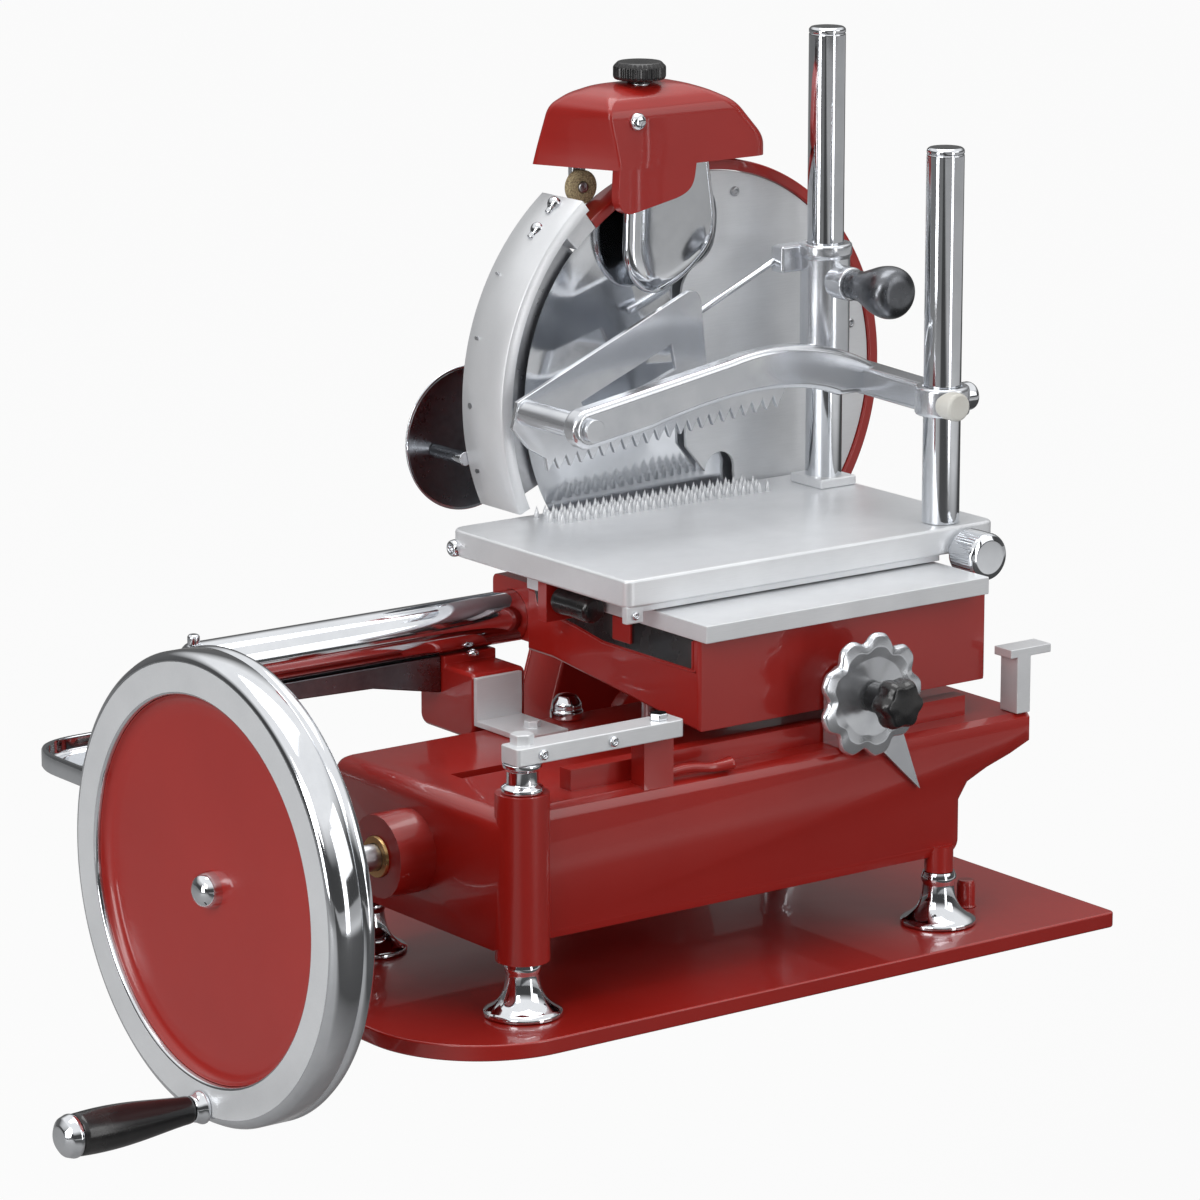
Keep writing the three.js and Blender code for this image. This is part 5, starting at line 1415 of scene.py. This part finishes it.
@dataclass
class Sharpener:
    """The painted hood over the blade with its arm, knob and stone."""

    bottom: float = 507.0
    front: float = 98.5
    back: float = 164.0
    roof: float = 29.0
    wall: float = 7.0
    knob: Point = (112.0, 124.0, 0.0)
    stone: Point = (73.0, 0.0, 491.5)

    def build(self) -> None:
        """Builds the sharpener."""
        self.build_hood()
        self.build_arm()
        self.build_knob()

    def hood_loop(self, height: float, front_left: float, back_left: float, right: float,
                  inset: float, corner: float) -> np.ndarray:
        """The hood's rounded plan at one height.

        Args:
            height: The height above its bottom edge.
            front_left: The front left corner's place along X.
            back_left: The back left corner's place along X.
            right: The right side's place along X.
            inset: How far the front and the back are taken in.
            corner: How far from the front left corner its curve starts.

        Returns:
            The plan's points.
        """
        low, high = self.front + inset, self.back - inset
        corners = [(front_left, low), (right, low), (right, high), (back_left, high)]
        flat = rounded(corners, [corner, 12.0, 12.0, 3 * corner], 8, closed=True)
        return np.column_stack([flat, np.full(len(flat), self.bottom + height)])

    def build_hood(self) -> None:
        """Builds the hood.

        Its plan is a quadrilateral whose corners follow a smooth line of six sizes from the
        bottom edge to the top: height, front left, back left, right, inset and corner.
        """
        sizes = rounded([[0, 77, 46, 207, 0, 2], [13, 74, 50, 207, 0, 2], [40, 67, 59, 182, 0, 2.5],
                         [49, 72, 67, 163, 6, 6], [54, 82, 77, 148, 15, 9],
                         [56, 96, 92, 132, 27, 9]], 9, 7)
        outer = np.stack([self.hood_loop(*row) for row in sizes])
        wall = self.wall
        inner = np.stack([self.hood_loop(self.roof, 76, 66, 180, wall + 2, 3),
                          self.hood_loop(1.0, 84, 55, 198, wall, 3),
                          self.hood_loop(0.0, 83, 54, 199, wall - 1, 3)])
        skin("sharpener_hood", stacked(np.concatenate([inner, outer])), Finish.RED, 42)
        tongue = rounded([(77, 521), (75, 484), (82, 475), (132, 485), (141, 492), (146, 527)],
                         [1, 6, 8, 10, 8, 1], 6, closed=True)
        shape = slab(tongue, Axis.Y, self.front + 0.1, self.front + 9)
        piece("hood_tongue", shape, Finish.RED, "sharpener", 35, 1.0)
        ball = rounded([[0, -4.6], [4.8, -3.9], [6.8, 0], [5.2, 3.6], [3.2, 4.4], [3.2, 8], [0, 8]],
                       3.0, 8)
        seated = turned(ball, Axis.Y, (90.6, self.front - 1.1, 540.5), 56)
        piece("hood_ball", seated, Finish.CHROME, "sharpener", 60)
        stem = rounded([[0, 471], [6.2, 471], [7, 472], [7, 538], [0, 538]], 0.6)
        piece("hood_stem", turned(stem, Axis.Z, (165, 153, 0), 56), Finish.STEEL, "sharpener")

    def build_arm(self) -> None:
        """Builds the polished arm, domed towards the front, with its head, column and hanger."""
        outline = rounded([(94, 531), (160, 531), (172, 450), (142, 424), (112, 412), (90, 434)],
                          [6, 6, 22, 14, 16, 18], 10, closed=True)
        middle = outline.mean(axis=0)
        rows = [(117.0, 0.95), (116.4, 0.98), (115.0, 1.0), (113.0, 1.0), (111.0, 0.985),
                (109.4, 0.94), (108.5, 0.86), (108.1, 0.72), (108.0, 0.5)]
        flat = np.stack([middle + (outline - middle) * share for _, share in rows])
        place = np.repeat(np.array([y for y, _ in rows])[:, None], len(outline), axis=1)
        arm = stacked(np.stack([flat[..., 0], place, flat[..., 1]], axis=-1))
        skin("sharpener_arm", arm, Finish.CHROME, 60)
        head = [(82, 108), (168, 108), (168, 136), (104, 136), (104, 149.3), (68.5, 149.3),
                (68.5, 143.3), (82, 137)]
        piece("sharpener_head", slab(head, Axis.Z, 527.7, 535.7), Finish.CAST, "sharpener", 30, 0.8)
        column = rounded([[0, 528], [7, 528], [7, 563], [0, 563]], 0.4)
        piece("sharpener_column", turned(column, Axis.Z, self.knob, 56), Finish.STEEL, "sharpener")
        hanger = box((68.5, 143.3, 485.5), (80, 149.3, 535.0))
        piece("sharpener_hanger", hanger, Finish.CAST, "sharpener", 30, 1.2)
        pin = rounded([[0, 135.6], [3.4, 135.8], [4, 136.6], [4, 148.3], [0, 148.3]], 0.4)
        piece("stone_pin", turned(pin, Axis.Y, self.stone, 40), Finish.STEEL, "sharpener")

    def build_knob(self) -> None:
        """Builds the ribbed knob on top and the stone."""
        profile = rounded([[0, 563.3], [9, 563.3], [9, 565.2], [17, 565.6], [18, 567.4],
                           [18, 574.4], [15.5, 577.8], [0, 578.3]], 0.9)

        def knurl(angle: np.ndarray, row: np.ndarray) -> np.ndarray:
            """Coarse ribs for the fingers."""
            return 0.5 * np.cos(30 * angle) * (profile[row, 0] > 16.5)

        skin("sharpener_knob", turned(profile, Axis.Z, self.knob, 180, knurl), Finish.BLACK, 50)
        stone = rounded([[4.35, 137], [12, 137], [12, 143], [4.35, 143]], [0.2, 0.8, 0.8, 0.2], 3,
                        closed=True)
        skin("grinding_stone", turned(stone, Axis.Y, self.stone, 72, closed=True), Finish.STONE)


# Inner drive


@dataclass
class InnerDrive:
    """Gears, crank and rod inside the casting."""

    steel: tuple = ("crank_pinion", "shaft_mitre_gear", "cross_mitre_gear", "cross_shaft",
                    "crank_axle", "crank_disc", "connecting_rod")

    def build(self) -> None:
        """Builds the drive."""
        refined("gear_bridge", Finish.CAST, 0.6)
        for node in self.steel:
            refined(node, Finish.STEEL, 0.25)


# Studio


@dataclass(frozen=True)
class Lamp:
    """A rectangular area lamp aimed at the machine: metres and watts."""

    name: str
    place: Point
    size: tuple[float, float]
    power: float
    target: Point = (0.0, 0.0, 0.25)

    def build(self) -> None:
        """Adds the lamp."""
        data = bpy.data.lights.new(self.name, "AREA")
        data.shape = "RECTANGLE"
        data.size, data.size_y = self.size
        data.energy = self.power
        made = bpy.data.objects.new(self.name, data)
        bpy.context.scene.collection.objects.link(made)
        aim = Vector(self.target) - Vector(self.place)
        made.location = self.place
        made.rotation_euler = aim.to_track_quat("-Z", "Y").to_euler()


@dataclass
class Studio:
    """Camera, lamps, floor and white background, in metres.

    The floor is grey under the machine, dark in front of it to the right, where its upright
    faces mirror the floor, and pale further off.
    """

    place: Point = (-2.1702, -2.9142, 1.0918)
    right: Point = (0.8039, -0.5948, 0.0)
    up: Point = (0.1368, 0.1849, 0.9731)
    back: Point = (-0.5789, -0.7823, 0.2300)
    heading: tuple[float, float] = (0.59, 0.80)
    lens_mm: float = 165.0
    horizon: float = 0.06
    sky_behind: float = 0.08
    sky_above: tuple[float, float] = (0.3, 0.6)
    ambient: float = 0.45
    floor_z: float = -0.30
    floor_reach: float = 12.0
    floor_grey: Colour = (0.34, 0.34, 0.34)
    floor_dark: Colour = (0.05, 0.05, 0.05)
    floor_pale: Colour = (0.8, 0.8, 0.8)
    dark_from: tuple[float, float] = (0.05, 0.4)
    pale_from: tuple[float, float] = (1.6, 2.2)
    floor_glow: float = 0.95
    lamps: tuple[Lamp, ...] = (
        Lamp("key", (-2.3, -1.0, 1.5), (1.2, 1.2), 20.0),
        Lamp("fill", (1.6, -2.2, 1.3), (1.4, 1.4), 9.0),
        Lamp("top", (0.3, 0.2, 2.6), (1.8, 1.8), 31.0),
        Lamp("left", (-2.3, -0.2, 0.45), (0.6, 1.0), 11.0),
        Lamp("right_strip", (0.45, -1.95, 0.5), (0.35, 1.6), 6.0),
    )

    def build(self) -> None:
        """Builds the studio."""
        self.build_camera()
        self.build_world()
        self.build_floor()
        for lamp in self.lamps:
            lamp.build()
        bpy.context.scene.view_settings.view_transform = "Standard"

    def build_camera(self) -> None:
        """Places the camera where the photograph was taken."""
        data = bpy.data.cameras.new("camera")
        data.lens = self.lens_mm
        data.sensor_width = 36.0
        data.sensor_fit = "HORIZONTAL"
        data.clip_end = 50.0
        camera = bpy.data.objects.new("camera", data)
        bpy.context.scene.collection.objects.link(camera)
        turn = Matrix((self.right, self.up, self.back)).transposed().to_4x4()
        camera.matrix_world = Matrix.Translation(self.place) @ turn
        bpy.context.scene.camera = camera

    def build_world(self) -> None:
        """White to the camera; to reflections white overhead and dimmer towards the horizon."""
        world = bpy.data.worlds.new("studio")
        bpy.context.scene.world = world
        graph = Graph(world, "ShaderNodeOutputWorld")
        path = graph.node("ShaderNodeLightPath", {}, {})
        direction = graph.node("ShaderNodeTexCoord", {}, {}).outputs["Generated"]
        split = graph.node("ShaderNodeSeparateXYZ", {}, {0: direction})
        x, y, z = (graph.result(split, axis) for axis in range(3))
        behind = (x * self.heading[0] + y * self.heading[1]).over(0.0, 0.7) * self.sky_behind
        above = z.over(*self.sky_above)
        open_sky = 1 - (1 - behind) * (1 - above)
        glossy = graph.result(path, "Is Glossy Ray")
        seen = graph.result(path, "Is Camera Ray") + graph.result(path, "Is Transmission Ray")
        mirrored = self.horizon + (1 - self.horizon) * open_sky
        level = seen + (1 - seen) * (glossy * mirrored + (1 - glossy) * self.ambient)
        shade = graph.node("ShaderNodeBackground", {}, {0: (1.0, 1.0, 1.0), 1: level})
        graph.feed(graph.output.inputs[0], shade.outputs[0])

    def build_floor(self) -> None:
        """Builds the floor below the overhanging wheel, nearly white to the camera."""
        mesh = bpy.data.meshes.new("floor")
        reach = self.floor_reach
        corners = [(-reach, -reach), (reach, -reach), (reach, reach), (-reach, reach)]
        mesh.from_pydata([(x, y, self.floor_z) for x, y in corners], [], [[0, 1, 2, 3]])
        floor = bpy.data.objects.new("floor", mesh)
        bpy.context.scene.collection.objects.link(floor)
        paint = Paint("floor")
        split = paint.node("ShaderNodeSeparateXYZ", {}, {0: paint.place})
        ahead = paint.result(split, 0) * self.heading[0] - paint.result(split, 1) * self.heading[1]
        near = paint.mix(ahead.over(*self.dark_from), self.floor_grey, self.floor_dark)
        colour = paint.mix(ahead.over(*self.pale_from), near, self.floor_pale)
        paint.set(Base_Color=colour, Roughness=0.9)
        path = paint.node("ShaderNodeLightPath", {}, {})
        glow = paint.node("ShaderNodeEmission", {}, {1: 1.0})
        share = paint.result(path, "Is Camera Ray") * self.floor_glow
        mixed = paint.node("ShaderNodeMixShader", {}, {0: share, 1: paint.shader.outputs[0],
                                                       2: glow.outputs[0]})
        paint.feed(paint.output.inputs[0], mixed.outputs[0])
        mesh.materials.append(paint.owner)


def main() -> None:
    """Builds the studio and then the machine, from the base up."""
    logging.basicConfig(level=logging.INFO, format="%(message)s")
    Studio().build()
    for part in (Base(), BodyCasting(), Flywheel(), Rail(), Carriage(), MeatTable(), Dial(),
                 BladeGroup(), SliceSide(), Clamp(), Sharpener(), InnerDrive()):
        log.info("building %s", type(part).__name__)
        part.build()


if __name__ == "__main__":
    main()
